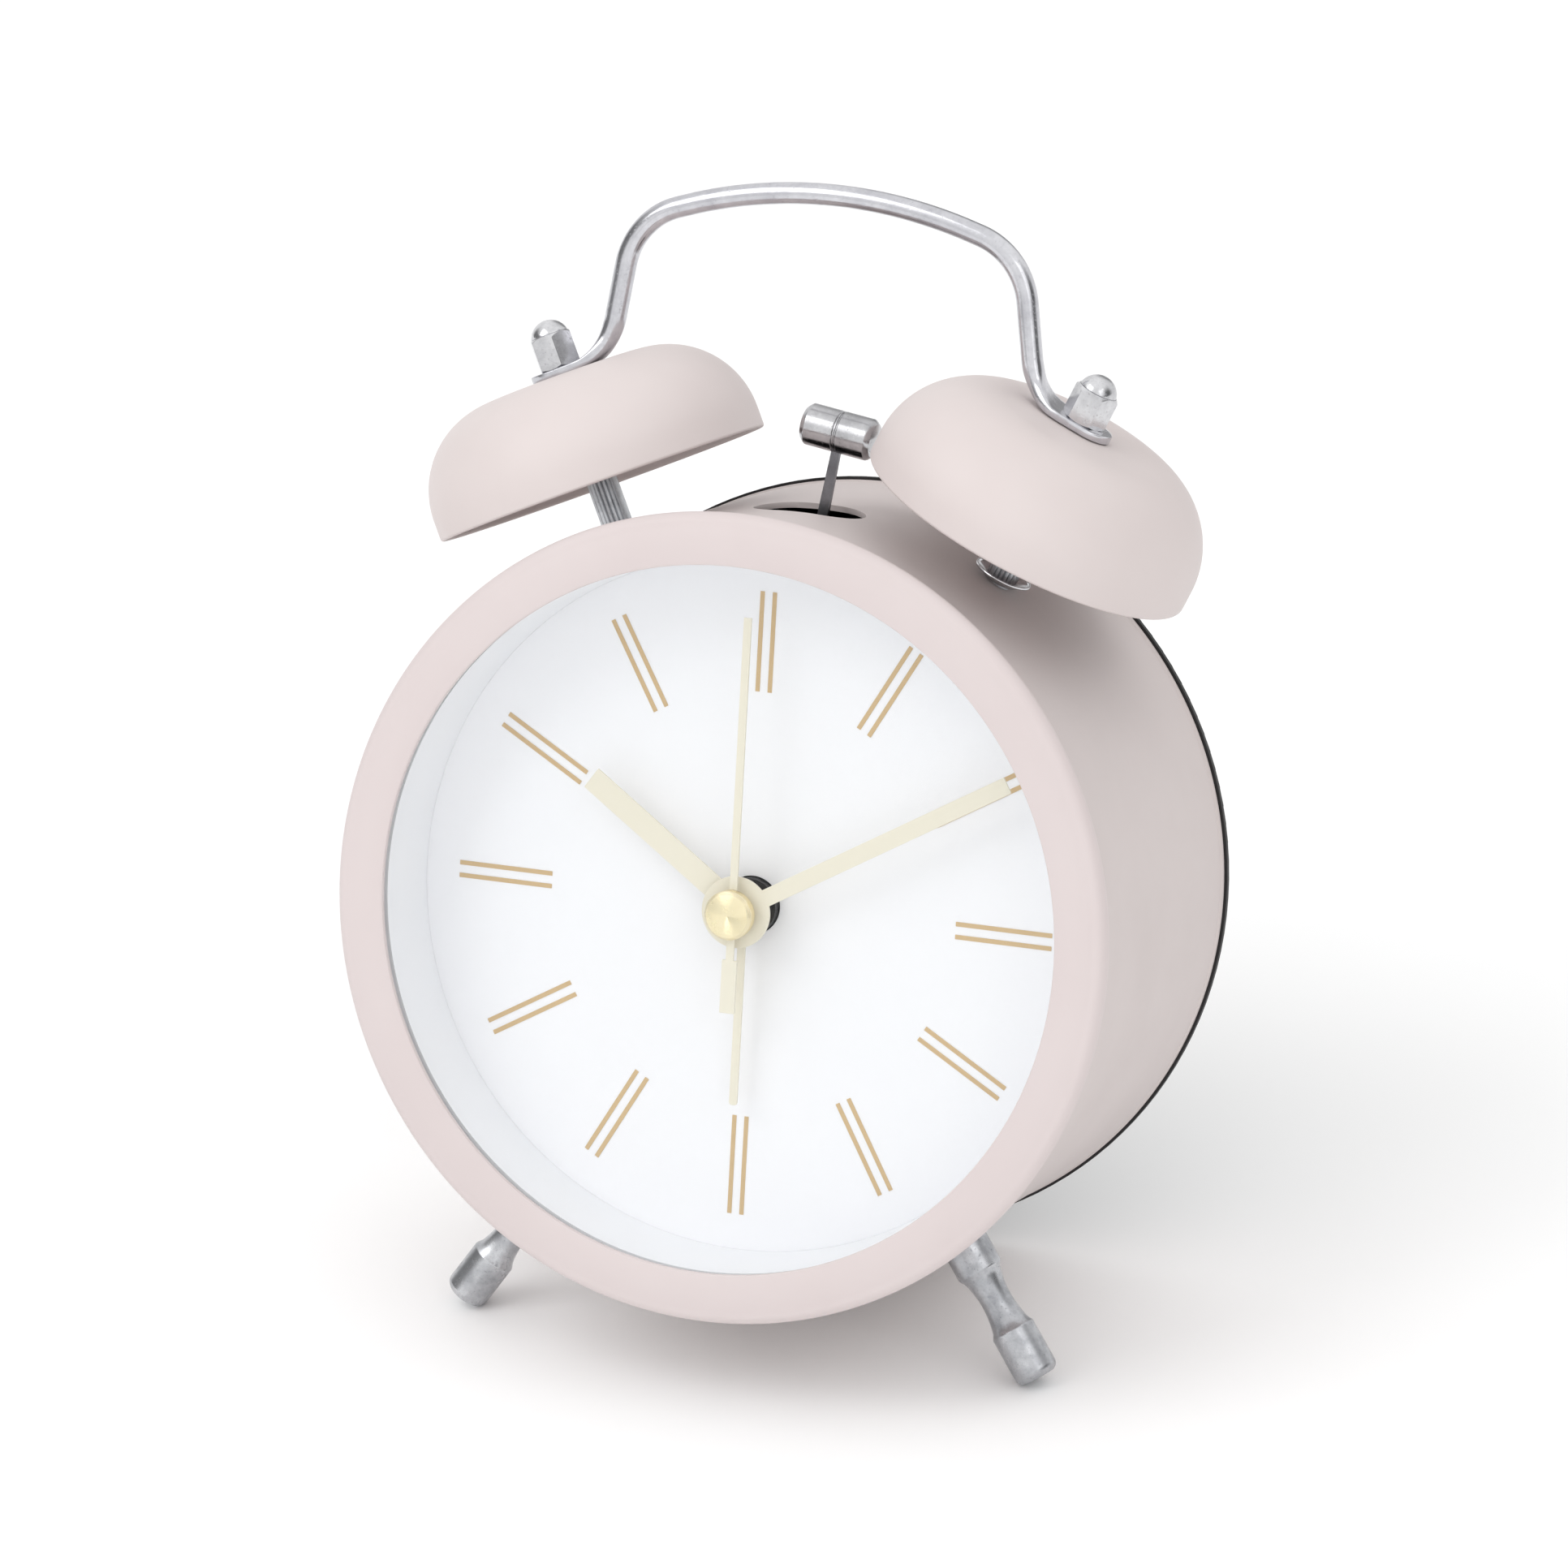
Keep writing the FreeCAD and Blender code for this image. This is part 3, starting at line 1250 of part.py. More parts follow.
def make_battery_cell():
    body = new_body("battery_cell")
    x, y, z = -size.cellLong / 2 - size.cellNub / 2, cell_depth(), -size.cellLow
    rod(body, size.cellRadius, size.cellLong, (x, y, z), X_AXIS)
    rod(body, 2.6, size.cellLong + size.cellNub, (x, y, z), X_AXIS)
    round_edges(body, term(0.6), lambda edge: abs(edge.BoundBox.YLength - 2 * float(size.cellRadius)) < 0.01
                and edge.BoundBox.XLength < 0.01)
    return keep(body)


def make_contacts():
    y, z = cell_depth(), -size.cellLow
    plate = new_body("positive_contact")
    inner = size.bayHalf
    tip = size.cellLong / 2 + size.cellNub / 2
    block(plate, (inner - 0.45, y - 5, z - 5), (inner - 0.05, y + 5, z + 5))
    rod(plate, 1.8, inner - tip - 0.1, (tip, y, z), X_AXIS)
    keep(plate)
    spring_plate = new_body("negative_contact")
    block(spring_plate, (-inner + 0.05, y - 5, z - 5), (-inner + 0.45, y + 5, z + 5))
    keep(spring_plate)
    # conical contact spring, closed coils drawn as stacked rings that touch
    wire, turns = 0.35, 4
    room = float(inner) - 0.45 - float(tip)
    rings = []
    for index in range(turns):
        reach = 4.6 - 0.7 * index
        at = -float(inner) + 0.45 + wire + (room - 2 * wire) * index / (turns - 1)
        rings.append(Part.makeTorus(reach, wire, Vector(at, float(y), float(z)), X_AXIS))
    for index in range(turns - 1):
        first = Vector(-float(inner) + 0.45 + wire + (room - 2 * wire) * index / (turns - 1),
                       float(y), float(z) + 4.6 - 0.7 * index)
        last = Vector(-float(inner) + 0.45 + wire + (room - 2 * wire) * (index + 1) / (turns - 1),
                      float(y), float(z) + 4.6 - 0.7 * (index + 1))
        rings.append(Part.makeCylinder(wire, (last - first).Length, first, last - first))
    spring = doc.addObject("Part::Feature", "contact_spring")
    spring.Label = "contact_spring"
    spring.Shape = rings[0].multiFuse(rings[1:])
    keep(spring)


def make_pillar(index, x, z):
    body = new_body("pillar_%d" % (index + 1))
    front = carrier_front() + size.carrierWall
    length = cover_front() - front
    rod(body, size.pillarRadius, length, (0, front, 0))
    rod(body, size.screwRadius, 12, (0, cover_front() - 11, 0), cut=True)
    body.Placement = Placement(Vector(float(x), 0, float(z)), Rotation())
    return body


# ---------------------------------------------------------------- stand

def lean_angle():
    """Lean at which the feet and the cover's lower edge touch one flat surface."""
    leg, foot = math.radians(float(size.legAngle)), float(leg_end()) - float(size.footRound)
    ring = float(size.footRadius) - float(size.footRound)
    edge = float(size.coverRadius) - float(size.coverWall) * 0.5
    depth = float(cover_back()) - float(size.coverWall) * 0.5

    def reaches(lean):
        cosine = math.cos(lean) * math.cos(leg)
        feet = (foot * cosine + float(size.legDepth) * math.sin(lean)
                + ring * math.sqrt(1 - cosine ** 2) + float(size.footRound))
        rear = (depth * math.sin(lean) + edge * math.cos(lean)
                + float(size.coverWall) * 0.5)
        return feet - rear

    low, high = 0.0, math.radians(40)
    for _ in range(60):
        middle = (low + high) / 2
        if reaches(middle) > 0:
            low = middle
        else:
            high = middle
    return middle


SECOND_ANGLE = 0.0      # 10:10:00
MINUTE_ANGLE = 60.0
HOUR_ANGLE = 305.0
ALARM_ANGLE = 180.0

make_case_shell()
make_bezel_ring()
make_front_lens()
make_dial_surround()
make_dial_plate()
make_hour_markers()
make_movement_carrier()
for name, side in (("left", -1), ("right", 1)):
    make_bell(name + "_bell", side)
    make_post(name + "_post", side)
    make_leg(name + "_leg", side)
group("cup_washers", [make_cup(side) for side in (-1, 1)])
group("cap_nuts", [make_cap_nut(side) for side in (-1, 1)])
post_nut_station = station_on(size.drumRadius - size.drumWall, *bell_axis(1)) - 0.5 - float(size.nutHigh)
group("post_nuts", [make_nut("post_nut_%s" % name, post_nut_station, along(*bell_axis(side)))
                    for name, side in (("left", -1), ("right", 1))])
leg_nut_station = size.drumRadius - size.drumWall - size.nutHigh - 0.25
group("leg_nuts", [make_nut("leg_nut_%s" % name, leg_nut_station, along(*leg_axis(side)))
                   for name, side in (("left", -1), ("right", 1))])
make_carry_handle()
make_hammer_head()
make_hammer_arm()
make_striker_plate()
make_striker_motor()
make_motor_crank()
make_gears()
make_movement_housing()
make_movement_bridge()
make_movement_lid()
lid_back = lid_front() + size.seatGap + size.lidWall
group("movement_screws", [make_screw("movement_screw_%d" % i, x, z, lid_back, 16)
                          for i, (x, z) in enumerate(corner_screws())])
group("striker_screws", [make_screw("striker_screw_%d" % i, sx * size.motorRadius, size.boxHalf - 2.6,
                                    striker_front() + size.plateWall, 2.4)
                         for i, sx in enumerate((-1, 1))])
make_stator()
make_drive_coil()
make_circuit_board()
make_quartz_crystal()
make_hands()
make_second_cap()
make_back_cover()
make_knob("time_knob", -size.knobReach)
make_knob("alarm_knob", size.knobReach)
make_alarm_switch()
make_battery_door()
make_battery_cell()
make_contacts()
group("cover_pillars", [make_pillar(i, x, z) for i, (x, z) in enumerate(pillar_places())])
group("cover_screws", [make_screw("cover_screw_%d" % i, x, z, cover_back(), 8)
                       for i, (x, z) in enumerate(pillar_places())])
doc.recompute()

# lean the clock back about the X axis and stand it on Z = 0, centred over the origin
lean = Rotation(X_AXIS, -math.degrees(lean_angle()))
extent = FreeCAD.BoundBox()
for part, place in nodes:
    turned = part.Shape.copy()
    turned.Placement = Placement(Vector(), lean).multiply(place)
    extent.add(turned.optimalBoundingBox(False))
shift = Vector(-extent.Center.x, -extent.Center.y, -extent.ZMin)
stand = Placement(shift, lean)
for part, place in nodes:
    part.Placement = stand.multiply(place)
doc.recompute()

failed = [o.Label for o in doc.Objects if {"Invalid", "Error"} & set(o.State)]
broken = [p.Label for p, _ in nodes if p.Shape.isNull() or not p.Shape.isValid()]
if failed or broken:
    raise RuntimeError("failed features %s, broken parts %s" % (failed, broken))

os.makedirs("parts", exist_ok=True)
for part, _ in nodes:
    part.Shape.exportStep(os.path.join("parts", part.Label + ".step"))
print("lean %.3f degrees, shift %.4f %.4f %.4f" % (math.degrees(lean_angle()), *shift))
print("%d parts written" % len(nodes))
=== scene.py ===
import math
import json
import bpy
from mathutils import Matrix, Vector


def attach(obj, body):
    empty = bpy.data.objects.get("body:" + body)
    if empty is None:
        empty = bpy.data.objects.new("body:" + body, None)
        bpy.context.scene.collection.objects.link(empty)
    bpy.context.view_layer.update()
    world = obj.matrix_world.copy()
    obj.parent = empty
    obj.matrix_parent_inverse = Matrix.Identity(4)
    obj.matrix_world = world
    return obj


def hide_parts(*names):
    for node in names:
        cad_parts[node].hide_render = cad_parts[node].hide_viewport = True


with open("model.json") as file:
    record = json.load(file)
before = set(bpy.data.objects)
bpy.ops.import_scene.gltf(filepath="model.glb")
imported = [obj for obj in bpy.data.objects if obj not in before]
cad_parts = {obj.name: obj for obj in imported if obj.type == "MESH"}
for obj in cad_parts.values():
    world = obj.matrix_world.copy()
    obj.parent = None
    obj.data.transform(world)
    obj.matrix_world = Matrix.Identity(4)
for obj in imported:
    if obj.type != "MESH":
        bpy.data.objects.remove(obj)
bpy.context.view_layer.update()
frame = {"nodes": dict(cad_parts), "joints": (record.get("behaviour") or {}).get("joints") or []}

# The clock is modelled upright in millimetres, about the middle of its dial: X to the right, Y back
# into the case, Z to twelve o'clock. settle() then leans each piece back and stands it in its place.

handJoint = next(j for j in frame["joints"] if j["name"] == "second_turn")
dialCentre = Vector(handJoint["pos_m"])
backward = Vector(handJoint["axis"])
upward = Vector((1, 0, 0)).cross(backward)
axes = Matrix((Vector((1, 0, 0)), backward, upward)).transposed()
standing = Matrix.Translation(dialCentre) @ axes.to_4x4()
tiny = 0.002   # radius of a closed pole


def deselect():
    if bpy.context.mode != "OBJECT":
        bpy.ops.object.mode_set(mode="OBJECT")
    bpy.ops.object.select_all(action="DESELECT")


def choose(piece):
    deselect()
    piece.select_set(True)
    bpy.context.view_layer.objects.active = piece


def edit(piece):
    choose(piece)
    bpy.ops.object.mode_set(mode="EDIT")
    bpy.ops.mesh.select_all(action="SELECT")


def tidy(piece, merge=0.004):
    # welds doubles and turns all faces outwards
    edit(piece)
    bpy.ops.mesh.remove_doubles(threshold=merge)
    bpy.ops.mesh.normals_make_consistent(inside=False)
    bpy.ops.object.mode_set(mode="OBJECT")


def modify(piece, kind, **settings):
    choose(piece)
    modifier = piece.modifiers.new(kind, kind)
    for key, value in settings.items():
        setattr(modifier, key, value)
    bpy.ops.object.modifier_apply(modifier=modifier.name)


def soften(piece, width, segments=3, angle=38):
    modify(piece, "BEVEL", width=width, segments=segments, limit_method="ANGLE",
           angle_limit=math.radians(angle), harden_normals=False)


def cut(piece, cutter, operation="DIFFERENCE"):
    modify(piece, "BOOLEAN", object=cutter, operation=operation, solver="EXACT")
    bpy.data.objects.remove(cutter)


def joined(name, pieces):
    deselect()
    for piece in pieces:
        piece.select_set(True)
    bpy.context.view_layer.objects.active = pieces[0]
    bpy.ops.object.join()
    pieces[0].name = pieces[0].data.name = name
    return pieces[0]


def apply(piece, place):
    choose(piece)
    piece.matrix_world = place @ piece.matrix_world
    bpy.ops.object.transform_apply(location=True, rotation=True, scale=True)


def settle(piece, material, body, nodes, place=Matrix(), angle=35, innerShade=None):
    # smooths a finished piece, puts it in its place on the clock and lets it ride on its body
    piece.data.materials.clear()
    piece.data.materials.append(material)
    if innerShade:   # another material, painted shade for the inner faces, where its test holds
        piece.data.materials.append(innerShade[0])
        for face in piece.data.polygons:
            face.material_index = 1 if innerShade[1](face) else 0
    apply(piece, standing @ Matrix.Scale(0.001, 4) @ place)
    bpy.ops.object.shade_smooth_by_angle(angle=math.radians(angle))
    modify(piece, "WEIGHTED_NORMAL", weight=60, keep_sharp=True)
    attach(piece, body)
    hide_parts(*nodes)


def arc(centre, radius, start, end, steps):
    # points on a circle between two angles in degrees
    turns = [math.radians(start + (end - start) * i / steps) for i in range(steps + 1)]
    return [(centre[0] + radius * math.cos(t), centre[1] + radius * math.sin(t)) for t in turns]


def lathe(name, profile, sides=128, closed=True):
    # a ring is extruded from point to point of the profile (radius, height) about Z
    deselect()
    radius, height = max(profile[0][0], tiny), profile[0][1]
    bpy.ops.mesh.primitive_circle_add(vertices=sides, radius=radius, location=(0, 0, height))
    piece = bpy.context.object
    piece.name = piece.data.name = name
    bpy.ops.object.transform_apply(location=True, rotation=True, scale=True)
    edit(piece)
    for nextRadius, nextHeight in profile[1:] + (profile[:1] if closed else []):
        nextRadius = max(nextRadius, tiny)
        bpy.ops.mesh.extrude_region_move(TRANSFORM_OT_translate={"value": (0, 0, nextHeight - height)})
        scale = nextRadius / radius
        bpy.ops.transform.resize(value=(scale, scale, 1), center_override=(0, 0, nextHeight))
        radius, height = nextRadius, nextHeight
    tidy(piece)
    return piece


def bar(name, low, high):
    # a box between two corners
    deselect()
    middle = [(a + b) / 2 for a, b in zip(low, high)]
    bpy.ops.mesh.primitive_cube_add(size=1, location=middle, scale=[b - a for a, b in zip(low, high)])
    piece = bpy.context.object
    piece.name = piece.data.name = name
    bpy.ops.object.transform_apply(location=True, rotation=True, scale=True)
    return piece


def disc(name, radius, low, high, sides=96):
    # a plain cylinder about Z
    deselect()
    bpy.ops.mesh.primitive_cylinder_add(vertices=sides, radius=radius, depth=high - low,
                                        location=(0, 0, (low + high) / 2))
    piece = bpy.context.object
    piece.name = piece.data.name = name
    bpy.ops.object.transform_apply(location=True, rotation=True, scale=True)
    return piece


def plate(name, half, low, high):
    # the outline's right half (x, z), mirrored and filled, is pushed back from one depth to another
    outline = half + [(-x, z) for x, z in reversed(half)]
    deselect()
    bpy.ops.mesh.primitive_circle_add(vertices=len(outline), radius=1)
    piece = bpy.context.object
    piece.name = piece.data.name = name
    for vertex, (x, z) in zip(piece.data.vertices, outline):
        vertex.co = (x, low, z)
    edit(piece)
    bpy.ops.mesh.edge_face_add()
    bpy.ops.mesh.extrude_region_move(TRANSFORM_OT_translate={"value": (0, high - low, 0)})
    tidy(piece, 0.0005)
    return piece


def duplicate(piece, name):
    choose(piece)
    bpy.ops.object.duplicate()
    copy = bpy.context.object
    copy.name = copy.data.name = name
    return copy


facing = Matrix.Rotation(math.radians(-90), 4, "X")   # turns a lathed piece's Z to the clock's Y


def clockwise(degrees):
    return Matrix.Rotation(math.radians(degrees), 4, "Y")


class Reading:
    # wraps a socket, so that arithmetic on it adds Math nodes

    def __init__(self, tree, output):
        self.tree, self.output = tree, output

    def node(self, kind, settings=None, inputs=None, give=0):
        made = self.tree.nodes.new("ShaderNode" + kind)
        for key, value in (settings or {}).items():
            if key == "stops":
                ramp = made.color_ramp
                while len(ramp.elements) < len(value):
                    ramp.elements.new(0.5)
                for element, (position, colour) in zip(ramp.elements, value):
                    element.position, element.color = position, colour
            else:
                setattr(made, key, value)
        for key, value in (inputs or {}).items():
            if isinstance(value, Reading):
                self.tree.links.new(value.output, made.inputs[key])
            else:
                made.inputs[key].default_value = value
        return Reading(self.tree, made.outputs[give] if len(made.outputs) else None)

    def maths(self, operation, *values):
        return self.node("Math", {"operation": operation}, dict(enumerate(values)))

    def __add__(self, other):
        return self.maths("ADD", self, other)

    def __radd__(self, other):
        return self.maths("ADD", other, self)

    def __sub__(self, other):
        return self.maths("SUBTRACT", self, other)

    def __rsub__(self, other):
        return self.maths("SUBTRACT", other, self)

    def __mul__(self, other):
        return self.maths("MULTIPLY", self, other)

    def __rmul__(self, other):
        return self.maths("MULTIPLY", other, self)

    def __truediv__(self, other):
        return self.maths("DIVIDE", self, other)

    def __rtruediv__(self, other):
        return self.maths("DIVIDE", other, self)

    def __pow__(self, other):
        return self.maths("POWER", self, other)

    def spread(self, low, high):
        # maps low..high to 0..1 and clamps
        return self.node("MapRange", {"clamp": True}, {"Value": self, "From Min": low, "From Max": high})

    def noise(self, scale, detail=3.0, roughness=0.5, stretch=(1, 1, 1)):
        shaped = self.node("Mapping", {}, {"Vector": self, "Scale": stretch})
        return self.node("TexNoise", {}, {"Vector": shaped, "Scale": scale, "Detail": detail,
                                          "Roughness": roughness})

    def blend(self, first, second):
        # colour mix, with this reading as its factor
        return self.node("Mix", {"data_type": "RGBA"}, {0: self, 6: first, 7: second}, 2)


def surface(name):
    # an empty material, and the object coordinates that its patterns start from
    made = bpy.data.materials.new(name)
    made.use_nodes = True
    made.node_tree.nodes.clear()
    coordinates = made.node_tree.nodes.new("ShaderNodeTexCoord")
    return made, Reading(made.node_tree, coordinates.outputs["Object"])


def finishSurface(made, start, sockets, height=None, strength=0.3, depth=0.0001):
    inputs = dict(sockets)
    if height is not None:
        inputs["Normal"] = start.node("Bump", {}, {"Height": height, "Strength": strength, "Distance": depth})
    shader = start.node("BsdfPrincipled", {}, inputs)
    start.node("OutputMaterial", {}, {"Surface": shader})
    return made


def srgb(red, green, blue):
    # display values 0-255 to the linear colour that the shader works in
    return tuple(((v / 255 + 0.055) / 1.055) ** 2.4 if v > 10 else v / 255 / 12.92
                 for v in (red, green, blue)) + (1.0,)


def enamel(name, colour, shade):
    # soft matt stoved paint: faint cloudiness, and a very fine orange peel
    made, place = surface(name)
    cloud = place.noise(45, 3, 0.55).spread(0.35, 0.7)
    peel = place.noise(1500, 2, 0.5)
    speck = place.noise(5200, 2, 0.6).spread(0.62, 0.74)
    base = (cloud * 0.55 + speck * 0.1).blend(srgb(*colour), srgb(*shade))
    return finishSurface(made, place, {
        "Base Color": base, "Roughness": 0.47 + cloud * 0.05 + peel * 0.06,
        "IOR": 1.46}, peel + speck * 0.25, 0.16, 0.00004)


def platedSteel(name, colour, shade, dull, streak=(1, 1, 1), cloudy=1.0):
    # zinc-bright steel: drawn streaks, pits and a mottled film
    made, place = surface(name)
    lines = place.noise(900, 5, 0.65, streak)
    film = place.noise(160, 6, 0.7).spread(0.36, 0.68)
    pits = place.noise(2600, 3, 0.6).spread(0.6, 0.72)
    base = (film * 0.6 * cloudy + pits * 0.35 + lines * 0.2).blend(srgb(*colour), srgb(*shade))
    return finishSurface(made, place, {
        "Base Color": base, "Metallic": 1.0,
        "Roughness": dull + film * 0.1 * cloudy + lines * 0.08 + pits * 0.12},
        lines * 0.6 - pits * 0.5 + film * 0.3, 0.22, 0.00008)


def plastic(name, colour, shade, rough, grain, deep=0.3):
    # moulded plastic with a spark-eroded grain
    made, place = surface(name)
    cells = place.node("TexVoronoi", {"feature": "SMOOTH_F1"}, {"Vector": place, "Scale": grain})
    haze = place.noise(70, 4, 0.6)
    base = (haze * 0.7 + cells * 0.3).blend(srgb(*colour), srgb(*shade))
    return finishSurface(made, place, {
        "Base Color": base, "Roughness": rough + haze * 0.12, "IOR": 1.5}, cells + haze * 0.4, deep, 0.00005)


def printed(name, colour, shade, rough, grain=2400, strength=0.15):
    # flat painted or printed sheet with a slight tooth
    made, place = surface(name)
    tooth = place.noise(grain, 3, 0.6)
    drift = place.noise(24, 3, 0.5).spread(0.3, 0.75)
    base = (drift * 0.6 + tooth * 0.25).blend(srgb(*colour), srgb(*shade))
    return finishSurface(made, place, {
        "Base Color": base, "Roughness": rough + tooth * 0.1, "IOR": 1.45}, tooth, strength, 0.00003)


def turnedBrass(name, colour, shade):
    # lathe rings about the hands' axis, on satin brass
    made, place = surface(name)
    centred = place.node("Mapping", {"vector_type": "TEXTURE"}, {
        "Vector": place, "Location": dialCentre, "Rotation": standing.to_euler()})
    across, along = [centred.node("SeparateXYZ", {}, {"Vector": centred}, axis) for axis in "XZ"]
    reach = (across * across + along * along) ** 0.5
    wander = place.noise(700, 4, 0.6)
    # the turning marks tip the surface in and out along the radius
    marksPerMetre = 46000   # in radians
    phase = reach * marksPerMetre + place.noise(900, 2) * 4
    marks = phase.maths("SINE", phase) * 0.34
    outward = place.node("CombineXYZ", {}, {"X": across / (reach + 0.00001), "Z": along / (reach + 0.00001)})
    turned = outward.node("VectorRotate", {"rotation_type": "EULER_XYZ"}, {
        "Vector": outward, "Rotation": standing.to_euler()})
    geometry = place.node("NewGeometry", {}, {}, "Normal")
    tipped = turned.node("VectorMath", {"operation": "MULTIPLY_ADD"}, {0: turned, 1: marks, 2: geometry})
    level = tipped.node("VectorMath", {"operation": "NORMALIZE"}, {0: tipped})
    base = (wander * 0.6 + marks * 0.3).blend(srgb(*colour), srgb(*shade))
    return finishSurface(made, place, {
        "Base Color": base, "Metallic": 1.0, "Roughness": 0.2 + wander * 0.12, "Normal": level})


def windowGlass(name):
    # clear pane: see-through, with a faint gloss towards its edges
    made, place = surface(name)
    smear = place.noise(38, 3, 0.5).spread(0.3, 0.8)
    clear = place.node("BsdfTransparent", {}, {"Color": (0.985, 0.99, 0.99, 1)})
    gloss = place.node("BsdfAnisotropic", {}, {"Color": (1, 1, 1, 1), "Roughness": 0.02 + smear * 0.03})
    edge = place.node("Fresnel", {}, {"IOR": 1.35})
    mixed = place.node("MixShader", {}, {0: edge * 0.35, 1: clear, 2: gloss})
    place.node("OutputMaterial", {}, {"Surface": mixed})
    return made


print("materials")
bezelPaint = enamel("bezelPaint", (213, 202, 201), (208, 196, 195))
bellPaint = enamel("bellPaint", (216, 206, 204), (210, 199, 197))
# the bezel's enamel made a little darker: painted shade for the drum's side
shadedCasePaint = enamel("shadedCasePaint", (209, 199, 197), (203, 193, 191))
# near-black for the drum's inner wall: painted shade, so the inside of the case reads dark
caseInsideShade = plastic("caseInsideShade", (34, 32, 33), (24, 23, 24), 0.6, 1800)
dialPaint = printed("dialPaint", (250, 249, 251), (247, 247, 250), 0.5)
surroundPlastic = plastic("surroundPlastic", (250, 250, 252), (245, 246, 249), 0.42, 2600, 0.1)
barInk = printed("barInk", (214, 186, 144), (205, 176, 134), 0.5)
handPaint = printed("handPaint", (239, 233, 216), (233, 226, 207), 0.45, 1800, 0.2)
capBrass = turnedBrass("capBrass", (250, 238, 204), (234, 216, 168))
zinc = platedSteel("zinc", (205, 207, 210), (150, 153, 158), 0.24)
polished = platedSteel("polished", (222, 222, 224), (160, 160, 164), 0.1)
rodChrome = platedSteel("rodChrome", (214, 214, 218), (170, 170, 176), 0.1)
legCasting = platedSteel("legCasting", (206, 207, 210), (138, 140, 145), 0.2, cloudy=1.3)
hammerSteel = platedSteel("hammerSteel", (205, 205, 207), (140, 140, 143), 0.12)
armSteel = platedSteel("armSteel", (140, 140, 144), (92, 92, 96), 0.24, (1, 1, 0.1))
gearPlastic = plastic("gearPlastic", (226, 226, 218), (212, 211, 201), 0.4, 2200)
windings = platedSteel("windings", (196, 118, 66), (140, 74, 38), 0.3, (0.1, 1, 12))
boardLaminate = printed("boardLaminate", (28, 96, 58), (18, 72, 44), 0.35, 900, 0.3)
cellFilm = printed("cellFilm", (44, 46, 52), (28, 30, 34), 0.25, 500, 0.2)
coverPlastic = plastic("coverPlastic", (32, 30, 31), (24, 23, 24), 0.5, 1700)
knobPlastic = plastic("knobPlastic", (40, 38, 39), (30, 29, 30), 0.42, 2400)
blackBush = plastic("blackBush", (26, 25, 27), (18, 17, 19), 0.4, 2600)
pane = windowGlass("pane")


caseSizes = {"drum": 52.8, "wall": 0.8, "front": -12.8, "back": 44.4, "slotHalf": 7.9, "slotWide": 9.4,
             "slotDepth": 14.2, "roll": 0.22, "legAngle": 34.5, "legDepth": 7.7, "legHole": 1.65}


def makeDrum(sizes):
    inner = sizes["drum"] - sizes["wall"]
    back, rolled = sizes["back"], sizes["drum"] + sizes["roll"]
    drum = lathe("caseDrum", [(inner, sizes["front"]), (sizes["drum"], sizes["front"]),
                              (sizes["drum"], back - 1.2), (rolled, back - 0.9), (rolled, back - 0.2),
                              (sizes["drum"], back), (inner, back)], 256)
    apply(drum, facing)
    radius = sizes["slotWide"] / 2
    run = sizes["slotHalf"] - radius
    slot = bar("slot", (-run, sizes["slotDepth"] - radius, 40), (run, sizes["slotDepth"] + radius, 60))
    ends = []
    for side in (-1, 1):
        end = disc("slotEnd", radius, 40, 60, 48)
        apply(end, Matrix.Translation((side * run, sizes["slotDepth"], 0)))
        ends.append(end)
    for end in ends:
        cut(slot, end, "UNION")
    cut(drum, slot)
    for side in (-1, 1):
        hole = disc("legHole", sizes["legHole"], 48, 58, 32)
        apply(hole, clockwise(180 + side * sizes["legAngle"]) @ Matrix.Translation((0, sizes["legDepth"], 0)))
        cut(drum, hole)
    soften(drum, 0.12, 2, 50)
    # the inner faces take the near-black painted shade
    inside = (caseInsideShade, lambda face: math.hypot(face.center.x, face.center.z) < sizes["drum"] - 0.5)
    settle(drum, shadedCasePaint, "clock", ["case_shell"], angle=30, innerShade=inside)


print("case drum")
makeDrum(caseSizes)

bezelSizes = {"opening": 48.2, "lip": -14.75, "outer": 55.2, "bead": 1.6, "crown": 9.2, "drum": 52.8,
              "rebate": 50.1, "lipWall": 0.8}


def makeBezel(sizes):
    front = caseSizes["front"] - 0.1
    beadAt = (sizes["outer"] - sizes["bead"], front)
    start, end = (sizes["opening"], sizes["lip"]), (beadAt[0], front - sizes["bead"])
    chord = Vector((end[0] - start[0], end[1] - start[1]))
    rise = math.sqrt(sizes["crown"] ** 2 - chord.length ** 2 / 4)
    middle = Vector(((start[0] + end[0]) / 2, (start[1] + end[1]) / 2))
    centre = middle + Vector((-chord.y, chord.x)).normalized() * rise
    first = math.degrees(math.atan2(start[1] - centre.y, start[0] - centre.x))
    last = math.degrees(math.atan2(end[1] - centre.y, end[0] - centre.x))
    profile = arc((centre.x, centre.y), sizes["crown"], first, last, 14)
    profile += arc(beadAt, sizes["bead"], -90, 90, 16)[1:]
    profile += [(sizes["drum"] + 0.1, front + sizes["bead"]), (sizes["drum"] + 0.1, front),
                (sizes["drum"] - 0.9, front), (sizes["drum"] - 0.9, front + sizes["bead"]),
                (sizes["rebate"], front + sizes["bead"]), (sizes["rebate"], sizes["lip"] + sizes["lipWall"]),
                (sizes["opening"], sizes["lip"] + sizes["lipWall"])]
    bezel = lathe("bezel", profile, 256)
    soften(bezel, 0.14, 3, 45)
    settle(bezel, bezelPaint, "clock", ["bezel_ring"], facing)


print("bezel")
makeBezel(bezelSizes)

windowSizes = {"lens": 50.0, "lensFront": -13.9, "lensWall": 1.4, "surroundFront": 48.4, "surroundBack": 47.9,
               "dial": 51.6, "dialWall": 0.8, "dialHole": 4.0}


